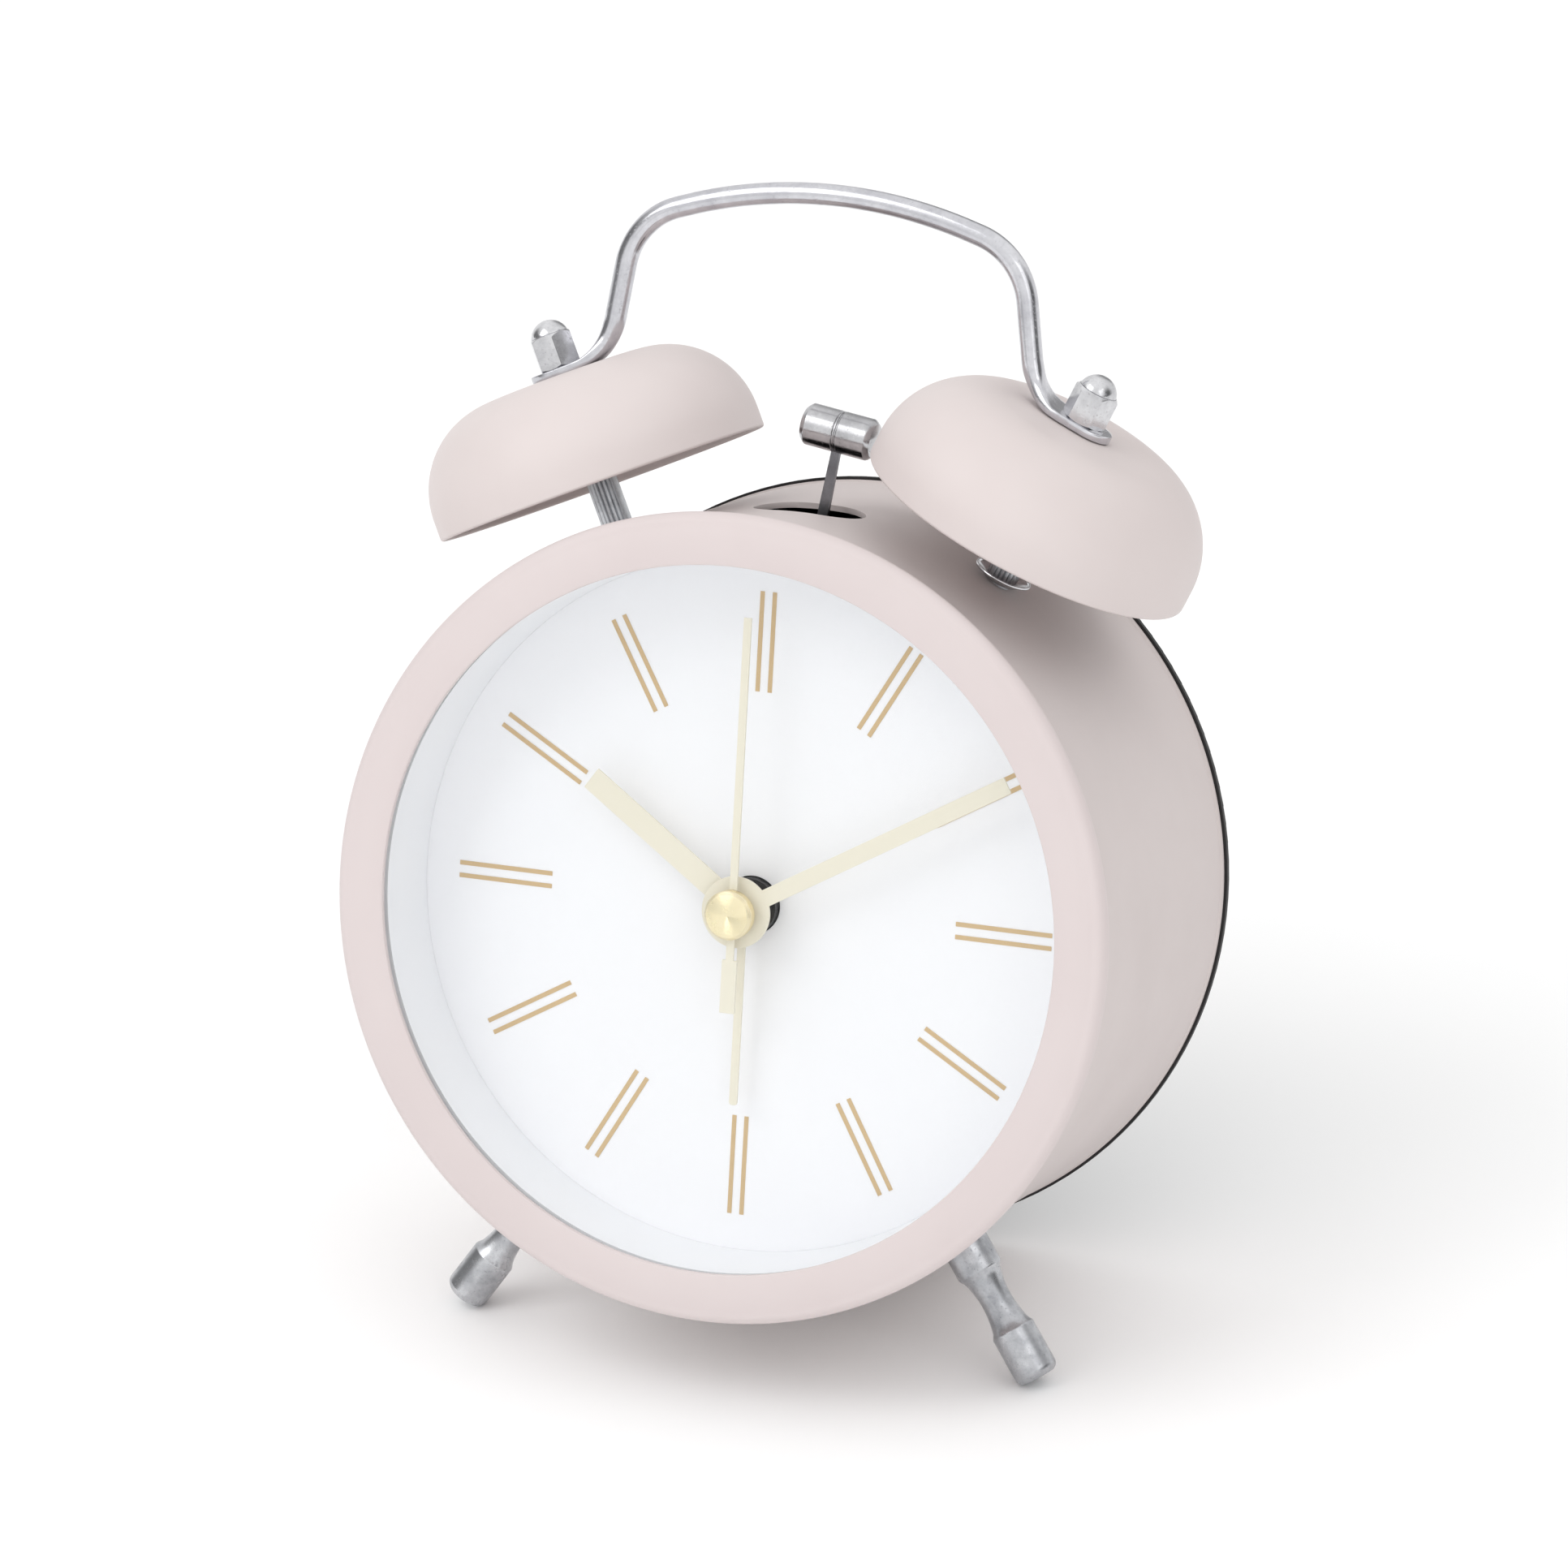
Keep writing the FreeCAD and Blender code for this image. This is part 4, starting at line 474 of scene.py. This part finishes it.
def makeWindow(sizes):
    front, back = sizes["lensFront"], sizes["lensFront"] + sizes["lensWall"]
    lens = lathe("windowPane", [(0, front), (sizes["lens"], front), (sizes["lens"], back), (0, back)], 192)
    soften(lens, 0.15, 2)
    settle(lens, pane, "clock", ["front_lens"], facing)
    surround = lathe("dialSurround", [
        (sizes["surroundFront"], back + 0.05), (sizes["lens"], back + 0.05), (sizes["lens"], -0.05),
        (sizes["surroundBack"], -0.05)], 256)
    settle(surround, surroundPlastic, "clock", ["dial_surround"], facing)
    dial = lathe("dialFace", [(sizes["dialHole"], 0), (sizes["dial"], 0), (sizes["dial"], sizes["dialWall"]),
                              (sizes["dialHole"], sizes["dialWall"])], 192)
    soften(dial, 0.08, 2)
    settle(dial, dialPaint, "clock", ["dial_plate"], facing)


print("window, surround and dial")
makeWindow(windowSizes)

barSizes = {"inner": 29.3, "outer": 43.0, "offset": 0.88, "wide": 0.62, "thick": 0.1}


def makeBars(sizes):
    # one pair is modelled at twelve o'clock and copied round
    pairs = []
    for side in (-1, 1):
        left = side * sizes["offset"] - sizes["wide"] / 2
        pairs.append(bar("hourBar", (left, -sizes["thick"], sizes["inner"]),
                         (left + sizes["wide"], -0.005, sizes["outer"])))
    pair = joined("hourBars", pairs)
    soften(pair, 0.03, 2)
    copies = [pair]
    for hour in range(1, 12):
        copy = duplicate(pair, "hourPair")
        apply(copy, clockwise(30 * hour))
        copies.append(copy)
    settle(joined("hourBars", copies), barInk, "clock", ["hour_markers"])


print("hour bars")
makeBars(barSizes)


# hub and bore are radii, half is half the blade's width, at is the depth of the sheet's middle
handSizes = {
    "alarmHand": {"hub": 3.2, "half": 0.575, "long": 27.2, "corner": 0.4, "at": -3.2, "turn": 180,
                  "bore": 2.35, "body": "alarm_train", "node": "alarm_hand"},
    "hourHand": {"hub": 3.43, "half": 1.65, "long": 27.4, "corner": 0.12, "at": -4.7, "turn": 305,
                 "bore": 1.75, "body": "hour_train", "node": "hour_hand"},
    "minuteHand": {"hub": 4.9, "half": 1.175, "long": 43.3, "corner": 0.22, "at": -6.1, "turn": 60,
                   "bore": 1.15, "body": "minute_train", "node": "minute_hand"},
    "secondHand": {"hub": 2.35, "half": 0.55, "long": 40.4, "corner": 0.08, "at": -7.5, "turn": 0,
                   "bore": 0.55, "body": "second_train", "node": "second_hand",
                   "tailHalf": 1.075, "tailEnd": -13.7, "tailStart": -6.4},
}
handThick = 0.4


def hubSide(radius, half, low=-90):
    # the right side of a hub, up to the place where a blade of this half width leaves it
    leave = math.degrees(math.acos(half / radius))
    points = arc((0, 0), radius, low, leave, 28)
    return points[1:] if low == -90 else points


def tip(half, end, corner):
    # the right half of a blade's end, with its corner rounded
    return arc((half - corner, end - corner), corner, 0, 90, 5)


def makeHand(name, sizes):
    low, tail = -90, []
    if "tailHalf" in sizes:   # the hub's outline starts where the counterweight's stem leaves it
        low = -math.degrees(math.acos(sizes["half"] / sizes["hub"]))
        tail = [(sizes["tailHalf"], sizes["tailEnd"]), (sizes["tailHalf"], sizes["tailStart"]),
                (sizes["half"], sizes["tailStart"])]
    outline = tail + hubSide(sizes["hub"], sizes["half"], low)
    outline += tip(sizes["half"], sizes["long"], sizes["corner"])
    hand = plate(name, outline, sizes["at"] - handThick / 2, sizes["at"] + handThick / 2)
    bore = disc("bore", sizes["bore"], -14, 4, 64)
    apply(bore, facing)
    cut(hand, bore)
    hand.name = hand.data.name = name
    soften(hand, 0.05, 2, 50)
    settle(hand, handPaint, sizes["body"], [sizes["node"]], clockwise(sizes["turn"]))


print("hands")
for handName, sizesOfHand in handSizes.items():
    makeHand(handName, sizesOfHand)

capSizes = {"radius": 3.35, "high": 1.9, "chamfer": 0.38}


def makeCap(sizes):
    back = handSizes["secondHand"]["at"] - handThick / 2
    front = back - sizes["high"]
    cap = lathe("brassCap", [(0, back), (sizes["radius"] - 0.1, back), (sizes["radius"], back - 0.1),
                             (sizes["radius"], front + sizes["chamfer"]),
                             (sizes["radius"] - sizes["chamfer"], front),
                             (0.35, front), (0, front + 0.12)], 128)
    soften(cap, 0.05, 2, 25)
    settle(cap, capBrass, "second_train", ["second_cap"], facing, angle=25)


print("brass cap")
makeCap(capSizes)


bellSizes = {"tilt": 24.5, "foot": 6.75, "depth": 15.3, "rim": 58.0, "radius": 23.6, "wall": 0.8,
             "skirt": 3.0, "shoulder": 12.8, "hole": 1.65}
bellTop = bellSizes["rim"] + bellSizes["skirt"] + bellSizes["shoulder"]


def bellPlace(side):
    # a lathed piece's Z becomes the bell's axis
    return (Matrix.Translation((side * bellSizes["foot"], bellSizes["depth"], 0))
            @ clockwise(side * bellSizes["tilt"]))


def makeBell(name, side, nodes, sizes):
    skirt, flat, wall = sizes["rim"] + sizes["skirt"], sizes["radius"] - sizes["shoulder"], sizes["wall"]
    outside = arc((flat, skirt), sizes["shoulder"], 0, 90, 26)
    inside = arc((flat, skirt), sizes["shoulder"] - wall, 90, 0, 26)
    rim = arc((sizes["radius"] - wall / 2, sizes["rim"] + wall / 2), wall / 2, 180, 360, 8)
    hole = sizes["hole"]
    profile = [(hole, bellTop - wall)] + inside + rim + outside + [(hole, bellTop)]
    bell = lathe(name, profile, 192)
    settle(bell, bellPaint, "clock", nodes, bellPlace(side))


print("bells")
makeBell("leftBell", -1, ["left_bell"], bellSizes)
makeBell("rightBell", 1, ["right_bell"], bellSizes)

postSizes = {"radius": 2.15, "flutes": 20, "fluteDeep": 0.22, "stud": 1.5, "studHole": 1.65, "studLow": 5.4,
             "studHigh": 3, "cup": 4.1, "cupHigh": 1.2, "cupWall": 0.4}


def cupStation():
    # the cup's foot stands just clear of the drum, which it meets askew
    tilt = math.radians(bellSizes["tilt"])
    along = -bellSizes["foot"] * math.sin(tilt)
    surfaceAt = along + math.sqrt(along ** 2 + caseSizes["drum"] ** 2 - bellSizes["foot"] ** 2)
    spot = Vector((bellSizes["foot"] + math.sin(tilt) * surfaceAt, 0, math.cos(tilt) * surfaceAt))
    skew = spot.angle(Vector((math.sin(tilt), 0, math.cos(tilt))))
    return surfaceAt + math.tan(skew) * postSizes["cup"] * 0.65 + 0.05


def makePost(name, side, nodes, sizes):
    low, high = cupStation() + sizes["cupWall"], bellTop - bellSizes["wall"]
    foot, end = low - sizes["studLow"], high + sizes["studHigh"]
    post = lathe(name, [(0, foot), (sizes["stud"], foot), (sizes["stud"], low), (sizes["radius"], low),
                        (sizes["radius"], high), (sizes["stud"], high), (sizes["stud"], end), (0, end)],
                 sizes["flutes"] * 4, closed=False)
    edit(post)
    bpy.ops.mesh.select_all(action="DESELECT")
    bpy.ops.mesh.select_mode(type="VERT")
    bpy.ops.object.mode_set(mode="OBJECT")
    for vertex in post.data.vertices:   # every fourth line of the shank is sunk to make a flute
        line = round(math.degrees(math.atan2(vertex.co.y, vertex.co.x)) / (90 / sizes["flutes"]))
        vertex.select = line % 4 == 0 and math.hypot(vertex.co.x, vertex.co.y) > sizes["radius"] - 0.1
    bpy.ops.object.mode_set(mode="EDIT")
    scale = 1 - sizes["fluteDeep"] / sizes["radius"]
    bpy.ops.transform.resize(value=(scale, scale, 1), center_override=(0, 0, 0))
    bpy.ops.mesh.select_all(action="SELECT")
    bpy.ops.mesh.normals_make_consistent(inside=False)
    bpy.ops.object.mode_set(mode="OBJECT")
    settle(post, zinc, "clock", nodes, bellPlace(side), angle=25)


def makeCups(sizes):
    low, high, cups = cupStation(), cupStation() + sizes["cupHigh"], []
    wall, seat, rim, hole = sizes["cupWall"], sizes["radius"] + 0.3, sizes["cup"], sizes["studHole"]
    for side in (-1, 1):
        cup = lathe("cup", [(hole, low), (seat, low), (rim - 0.7, high - 0.62), (rim - 0.12, high - 0.42),
                            (rim, high - 0.24), (rim - 0.06, high), (rim - 0.3, high),
                            (rim - 0.42, high - 0.22), (rim - 0.9, high - 0.42), (seat, low + wall),
                            (hole, low + wall)], 96)
        soften(cup, 0.05, 2, 20)
        apply(cup, bellPlace(side))
        cups.append(cup)
    settle(joined("cupWashers", cups), polished, "clock", ["cup_washers"], angle=22)


print("posts and cups")
makePost("leftPost", -1, ["left_post"], postSizes)
makePost("rightPost", 1, ["right_post"], postSizes)
makeCups(postSizes)

nutSizes = {"flats": 5.5, "hex": 4.7, "high": 6.8, "seat": 75.1, "dome": 2.66, "twist": 4}


def makeCapNuts(sizes):
    # a hexagonal bar turned down to a chamfer, a fine groove and a dome
    nuts, low = [], sizes["seat"]
    shoulder, top, dome = low + sizes["hex"], low + sizes["high"], sizes["dome"]
    rise = top - shoulder
    ball = (dome * dome + rise * rise) / (2 * rise)
    start = math.degrees(math.asin((ball - rise) / ball))
    for side in (-1, 1):
        corner = sizes["flats"] / math.sqrt(3)
        hexagon = disc("hexagon", corner, low, top + 1, 6)
        apply(hexagon, Matrix.Rotation(math.radians(side * sizes["twist"] + 30), 4, "Z"))
        profile = [(0, low), (corner - 0.42, low), (corner + 0.05, low + 0.28),
                   (corner + 0.05, shoulder - 0.55), (dome + 0.07, shoulder - 0.04), (dome - 0.08, shoulder),
                   (dome - 0.02, shoulder + 0.06)]
        profile += arc((0, top - ball), ball, start + 2, 90, 18)
        turned = lathe("turnedBlank", profile, 96)
        cut(hexagon, turned, "INTERSECT")
        soften(hexagon, 0.06, 2, 24)
        apply(hexagon, bellPlace(side))
        nuts.append(hexagon)
    settle(joined("capNuts", nuts), polished, "clock", ["cap_nuts"], angle=20)


print("cap nuts")
makeCapNuts(nutSizes)


handleSizes = {"rod": 1.5, "tabThick": 1.2, "tabWide": 6.6, "tail": 1.2, "half": 28.1, "lean": 8.5,
               "top": 95.45, "crown": 68.0, "shoulder": 10.5, "foot": 7.5, "flatTo": 2.7, "roundFrom": 10.5}


def rounded(first, corner, last, radius, steps):
    # points along the arc that rounds a corner, in X and Z
    into, out = (first - corner).normalized(), (last - corner).normalized()
    half = into.angle(out) / 2
    centre = corner + (into + out).normalized() * (radius / math.sin(half))
    start, end = corner + into * (radius / math.tan(half)), corner + out * (radius / math.tan(half))
    points = []
    for step in range(steps + 1):
        point = start.lerp(end, step / steps) - centre
        points.append(centre + point.normalized() * radius)
    return points


def handleLine(sizes):
    # centre line of the right half, from the tab's end up to the crown's middle
    tilt = math.radians(bellSizes["tilt"])
    up = Vector((math.sin(tilt), 0, math.cos(tilt)))
    inward = Vector((-up.z, 0, up.x))
    foot = Vector((bellSizes["foot"], bellSizes["depth"], 0))
    tab = foot + up * (nutSizes["seat"] - sizes["tabThick"] / 2)
    line = tab + up * (sizes["rod"] - sizes["tabThick"] / 2)
    spread = math.asin((sizes["half"] - sizes["shoulder"] * 0.7) / sizes["crown"])
    crownEnd = Vector((sizes["crown"] * math.sin(spread), bellSizes["depth"],
                       sizes["top"] - sizes["crown"] * (1 - math.cos(spread))))
    fall = Vector((math.cos(spread), 0, -math.sin(spread)))
    shoulder = crownEnd + fall * ((sizes["half"] - crownEnd.x) / fall.x)
    lean = math.radians(sizes["lean"])
    rise = Vector((-math.sin(lean), 0, math.cos(lean)))
    gap = (line.x - shoulder.x) * rise.z - (line.z - shoulder.z) * rise.x
    knee = line + inward * (gap / (rise.x * inward.z - rise.z * inward.x))
    end = line - inward * (sizes["tail"] + sizes["tabWide"] / 2)
    points = [end + (line - end) * (i / 8) for i in range(9)]
    points += [line + inward * 1.2, line + inward * 2.4]
    bend = rounded(line, knee, shoulder, sizes["foot"], 18)
    turnover = rounded(knee, shoulder, crownEnd, sizes["shoulder"], 16)
    points += bend
    points += [bend[-1].lerp(turnover[0], t / 5) for t in (1, 2, 3, 4)]
    points += turnover
    for step in range(1, 15):
        angle = spread * (1 - step / 14)
        points.append(Vector((sizes["crown"] * math.sin(angle), bellSizes["depth"],
                              sizes["top"] - sizes["crown"] * (1 - math.cos(angle)))))
    travelled = [-(line - end).length]
    for first, second in zip(points, points[1:]):
        travelled.append(travelled[-1] + (second - first).length)
    return points, travelled


def handleSection(travelled, sizes):
    # half width, half thickness and squareness of the section at a distance from the nut
    share = min(max((travelled - sizes["flatTo"]) / (sizes["roundFrom"] - sizes["flatTo"]), 0), 1)
    flat = 1 - share * share * (3 - 2 * share)
    wide = sizes["rod"] + (sizes["tabWide"] / 2 - sizes["rod"]) * flat ** 1.6
    tall = sizes["rod"] + (sizes["tabThick"] / 2 - sizes["rod"]) * flat
    past = (-travelled - sizes["tail"]) / (sizes["tabWide"] / 2)
    if past > 0:
        wide *= math.sqrt(1 - min(past, 0.985) ** 2)
    return wide, tall, 2 / (2 + 6 * flat * flat)


def makeHandle(sizes):
    # a ring of the rod's section is extruded along the line, and hammered flat at the ends
    points, travelled = handleLine(sizes)
    points += [Vector((-p.x, p.y, p.z)) for p in reversed(points[:-1])]
    travelled += list(reversed(travelled[:-1]))
    total = len(points)
    deselect()
    bpy.ops.mesh.primitive_circle_add(vertices=40, radius=1, location=(0, 0, 0))
    rodPiece = bpy.context.object
    edit(rodPiece)
    for index in range(total - 1):
        bpy.ops.mesh.extrude_region_move(TRANSFORM_OT_translate={"value": (0, 0, 1)})
    bpy.ops.object.mode_set(mode="OBJECT")
    for vertex in rodPiece.data.vertices:
        index = round(vertex.co.z)
        way = (points[min(index + 1, total - 1)] - points[max(index - 1, 0)]).normalized()
        down = Vector((-way.z, 0, way.x))
        wide, tall, square = handleSection(travelled[index], sizes)
        angle = math.atan2(vertex.co.y, vertex.co.x)
        across = math.copysign(abs(math.cos(angle)) ** square, math.cos(angle)) * wide
        below = math.copysign(abs(math.sin(angle)) ** square, math.sin(angle)) * tall + sizes["rod"] - tall
        vertex.co = points[index] + Vector((0, across, 0)) + down * below
    edit(rodPiece)
    bpy.ops.mesh.select_all(action="DESELECT")
    bpy.ops.mesh.select_non_manifold()
    bpy.ops.mesh.edge_face_add()
    tidy(rodPiece, 0.001)
    rodPiece.name = rodPiece.data.name = "carryHandle"
    settle(rodPiece, rodChrome, "clock", ["carry_handle"], angle=42)


print("carry handle")
makeHandle(handleSizes)


hammerSizes = {"reach": 21.7, "radius": 2.9, "long": 9.0, "nose": 0.6, "armFoot": 0.83, "armTop": 0.6,
               "armThick": 0.8, "tilt": 9.0, "pivot": 42.0, "prongFrom": 1.2, "prongTo": 2.7,
               "prongEnd": -10.0, "hub": 2.4}


def makeHammer(sizes):
    lean = (Matrix.Translation((0, bellSizes["depth"], sizes["pivot"])) @ clockwise(sizes["tilt"]))
    half, radius, nose = sizes["long"] / 2, sizes["radius"], sizes["nose"]
    side = [(radius * 0.8, nose + half), (radius - 0.14, half + 0.14), (radius, half - 0.12),
            (radius, 0.34), (radius - 0.2, 0.22), (radius - 0.2, 0.07), (radius - 0.02, 0.04)]
    head = lathe("hammerHead", [(0, -half - nose)] + [(r, -z) for r, z in side]
                 + [(r, z) for r, z in reversed(side)] + [(0, half + nose)], 96)
    soften(head, 0.06, 3, 20)
    settle(head, hammerSteel, "hammer", ["hammer_head"],
           lean @ Matrix.Translation((0, 0, sizes["reach"])) @ clockwise(90), angle=25)
    thick, top = sizes["armThick"] / 2, sizes["reach"] - radius * 0.8
    near, far, down = sizes["prongFrom"], sizes["prongTo"], sizes["prongEnd"]
    arm = plate("hammerArm", [(0.01, -2.6), (near, -2.6), (near, down), (far, down), (far, -1.6), (2.2, 0.9),
                              (sizes["armFoot"], 2.6), (sizes["armTop"], top)], -thick, thick)
    hub = disc("armHub", sizes["hub"], -0.5, 2.0, 48)
    apply(hub, facing)
    cut(arm, hub, "UNION")
    soften(arm, 0.1, 2, 50)
    settle(arm, armSteel, "hammer", ["hammer_arm"], lean)


print("hammer")
makeHammer(hammerSizes)


legSizes = {"angle": caseSizes["legAngle"], "depth": caseSizes["legDepth"], "top": 52.9,
            "collar": 5.6, "neck": 8.9, "foot": 7.5, "collarRadius": 3.25, "footRadius": 3.1, "waist": 2.15,
            "round": 1.2, "stud": 1.5, "studLong": 5.4}


def makeLeg(name, side, nodes, sizes):
    top = sizes["top"]
    neck, foot = top + sizes["collar"], top + sizes["collar"] + sizes["neck"]
    end = foot + sizes["foot"]
    stud, start = sizes["stud"], top - sizes["studLong"]
    profile = [(0, start), (stud - 0.2, start), (stud, start + 0.2), (stud, top),
               (sizes["collarRadius"] - 0.2, top), (sizes["collarRadius"], top + 0.2),
               (sizes["collarRadius"], neck - 0.25), (sizes["collarRadius"] - 0.12, neck)]
    rings = 16
    for step in range(1, rings):   # hollow neck between two crisp shoulders
        share = step / rings
        hollow = math.sin(math.pi * share) ** 0.8
        edge = sizes["collarRadius"] - 0.25 + (sizes["footRadius"] - sizes["collarRadius"]) * share
        profile.append((edge + (sizes["waist"] - edge) * hollow, neck + sizes["neck"] * share))
    profile += [(sizes["footRadius"] - 0.12, foot), (sizes["footRadius"], foot + 0.25)]
    profile += arc((sizes["footRadius"] - sizes["round"], end - sizes["round"]), sizes["round"], 0, 90, 8)
    profile += [(0, end)]
    leg = lathe(name, profile, 96, closed=False)
    settle(leg, legCasting, "clock", nodes,
           Matrix.Translation((0, sizes["depth"], 0)) @ clockwise(180 - side * sizes["angle"]), angle=28)


print("legs")
makeLeg("leftLeg", -1, ["left_leg"], legSizes)
makeLeg("rightLeg", 1, ["right_leg"], legSizes)


carried = {
    coverPlastic: ["back_cover", "battery_door"],
    knobPlastic: ["time_knob", "alarm_knob", "alarm_switch"],
    blackBush: ["movement_housing", "movement_carrier", "movement_lid", "cover_pillars"],
    gearPlastic: ["second_wheel", "third_wheel", "centre_wheel", "idler_wheel", "step_rotor", "cannon_pinion",
                  "motion_wheel", "hour_wheel", "alarm_wheel", "time_arbor", "alarm_arbor",
                  "movement_bridge"],
    windings: ["drive_coil"], boardLaminate: ["circuit_board"], cellFilm: ["battery_cell"],
    armSteel: ["motor_stator", "striker_plate", "motor_crank"],
}
# the other nodes that show as they were packed are zinc plated
finishOf = {nodeName: made for made, names in carried.items() for nodeName in names}
for nodeName, node in frame["nodes"].items():
    if not node.hide_render:
        node.data.materials.clear()
        node.data.materials.append(finishOf.get(nodeName, zinc))


# bands are (share of a turn, grey) round the horizon, and flagTop the height where they fade into the sky
roomSizes = {"strength": 1.07, "sky": 1.04, "middle": (0, 0, 0.07), "flagTop": (0.35, 0.75), "bands": [
    (0.0, 0.95), (0.08, 1.0), (0.15, 0.25), (0.27, 0.2), (0.33, 0.9), (0.44, 0.95), (0.47, 0.35),
    (0.53, 0.35), (0.56, 0.9), (0.66, 0.9), (0.72, 0.15), (0.83, 0.2), (0.9, 1.0), (1.0, 0.95)]}


def makeRoom():
    deselect()
    bpy.ops.mesh.primitive_plane_add(size=14, location=(0, 0, 0))
    floor = bpy.context.object
    floor.name = "floor"
    made, place = surface("floorPaper")
    tooth = place.noise(30, 2)
    floor.data.materials.append(finishSurface(made, place, {
        "Base Color": tooth.blend((0.965, 0.965, 0.965, 1), (0.97, 0.97, 0.97, 1)), "Roughness": 0.9}))
    world = bpy.data.worlds.new("studio")
    bpy.context.scene.world = world
    world.use_nodes = True
    # a white studio with dark flags low down on both sides, which draw lines in the bright metal
    tree = world.node_tree
    ground = tree.nodes["Background"]
    way = Reading(tree, tree.nodes.new("ShaderNodeTexCoord").outputs["Generated"])
    right, back, height = [way.node("SeparateXYZ", {}, {"Vector": way}, axis) for axis in "XYZ"]
    bearing = right.maths("ARCTAN2", right, back) / (2 * math.pi) + 0.5
    stops = [(turn, (grey, grey, grey, 1)) for turn, grey in roomSizes["bands"]]
    bands = bearing.node("ValToRGB", {"stops": stops}, {"Fac": bearing})
    lift = height.spread(*roomSizes["flagTop"])
    light = lift.blend(bands, (roomSizes["sky"],) * 3 + (1,))
    tree.links.new(light.output, ground.inputs["Color"])
    ground.inputs["Strength"].default_value = roomSizes["strength"]


def addLight(name, watts, size, at):
    # a soft box, turned to the clock's middle
    light = bpy.data.lights.new(name, "AREA")
    light.energy, light.shape, light.size, light.size_y = watts, "RECTANGLE", size[0], size[1]
    lamp = bpy.data.objects.new(name, light)
    bpy.context.scene.collection.objects.link(lamp)
    way = Vector(roomSizes["middle"]) - Vector(at)
    lamp.matrix_world = Matrix.Translation(at) @ way.to_track_quat("-Z", "Y").to_matrix().to_4x4()


def addCamera():
    # seen from the right and above, 1.1 m away, through a long lens
    camera = bpy.data.cameras.new("camera")
    camera.lens, camera.sensor_width, camera.sensor_fit = 187.99, 36, "HORIZONTAL"
    camera.clip_start, camera.clip_end = 0.05, 30
    eye = bpy.data.objects.new("camera", camera)
    bpy.context.scene.collection.objects.link(eye)
    turn = Matrix(((0.93415973, -0.11196281, 0.33883613), (0.35277274, 0.14652648, -0.92416524),
                   (0.05382367, 0.9828501, 0.17637656))).to_4x4()
    eye.matrix_world = standing @ Matrix.Translation((0.378310, -1.021889, 0.212113)) @ turn
    bpy.context.scene.camera = eye


print("room")
makeRoom()
addLight("keyLight", 9, (1.2, 1.2), (-0.9, -1.0, 1.5))
addLight("fillLight", 3, (1.0, 1.2), (1.3, -0.9, 0.9))
addLight("frontLight", 0.5, (1.5, 1.1), (0.5, -1.7, 0.45))
addCamera()
bpy.context.scene.view_settings.view_transform = "Standard"
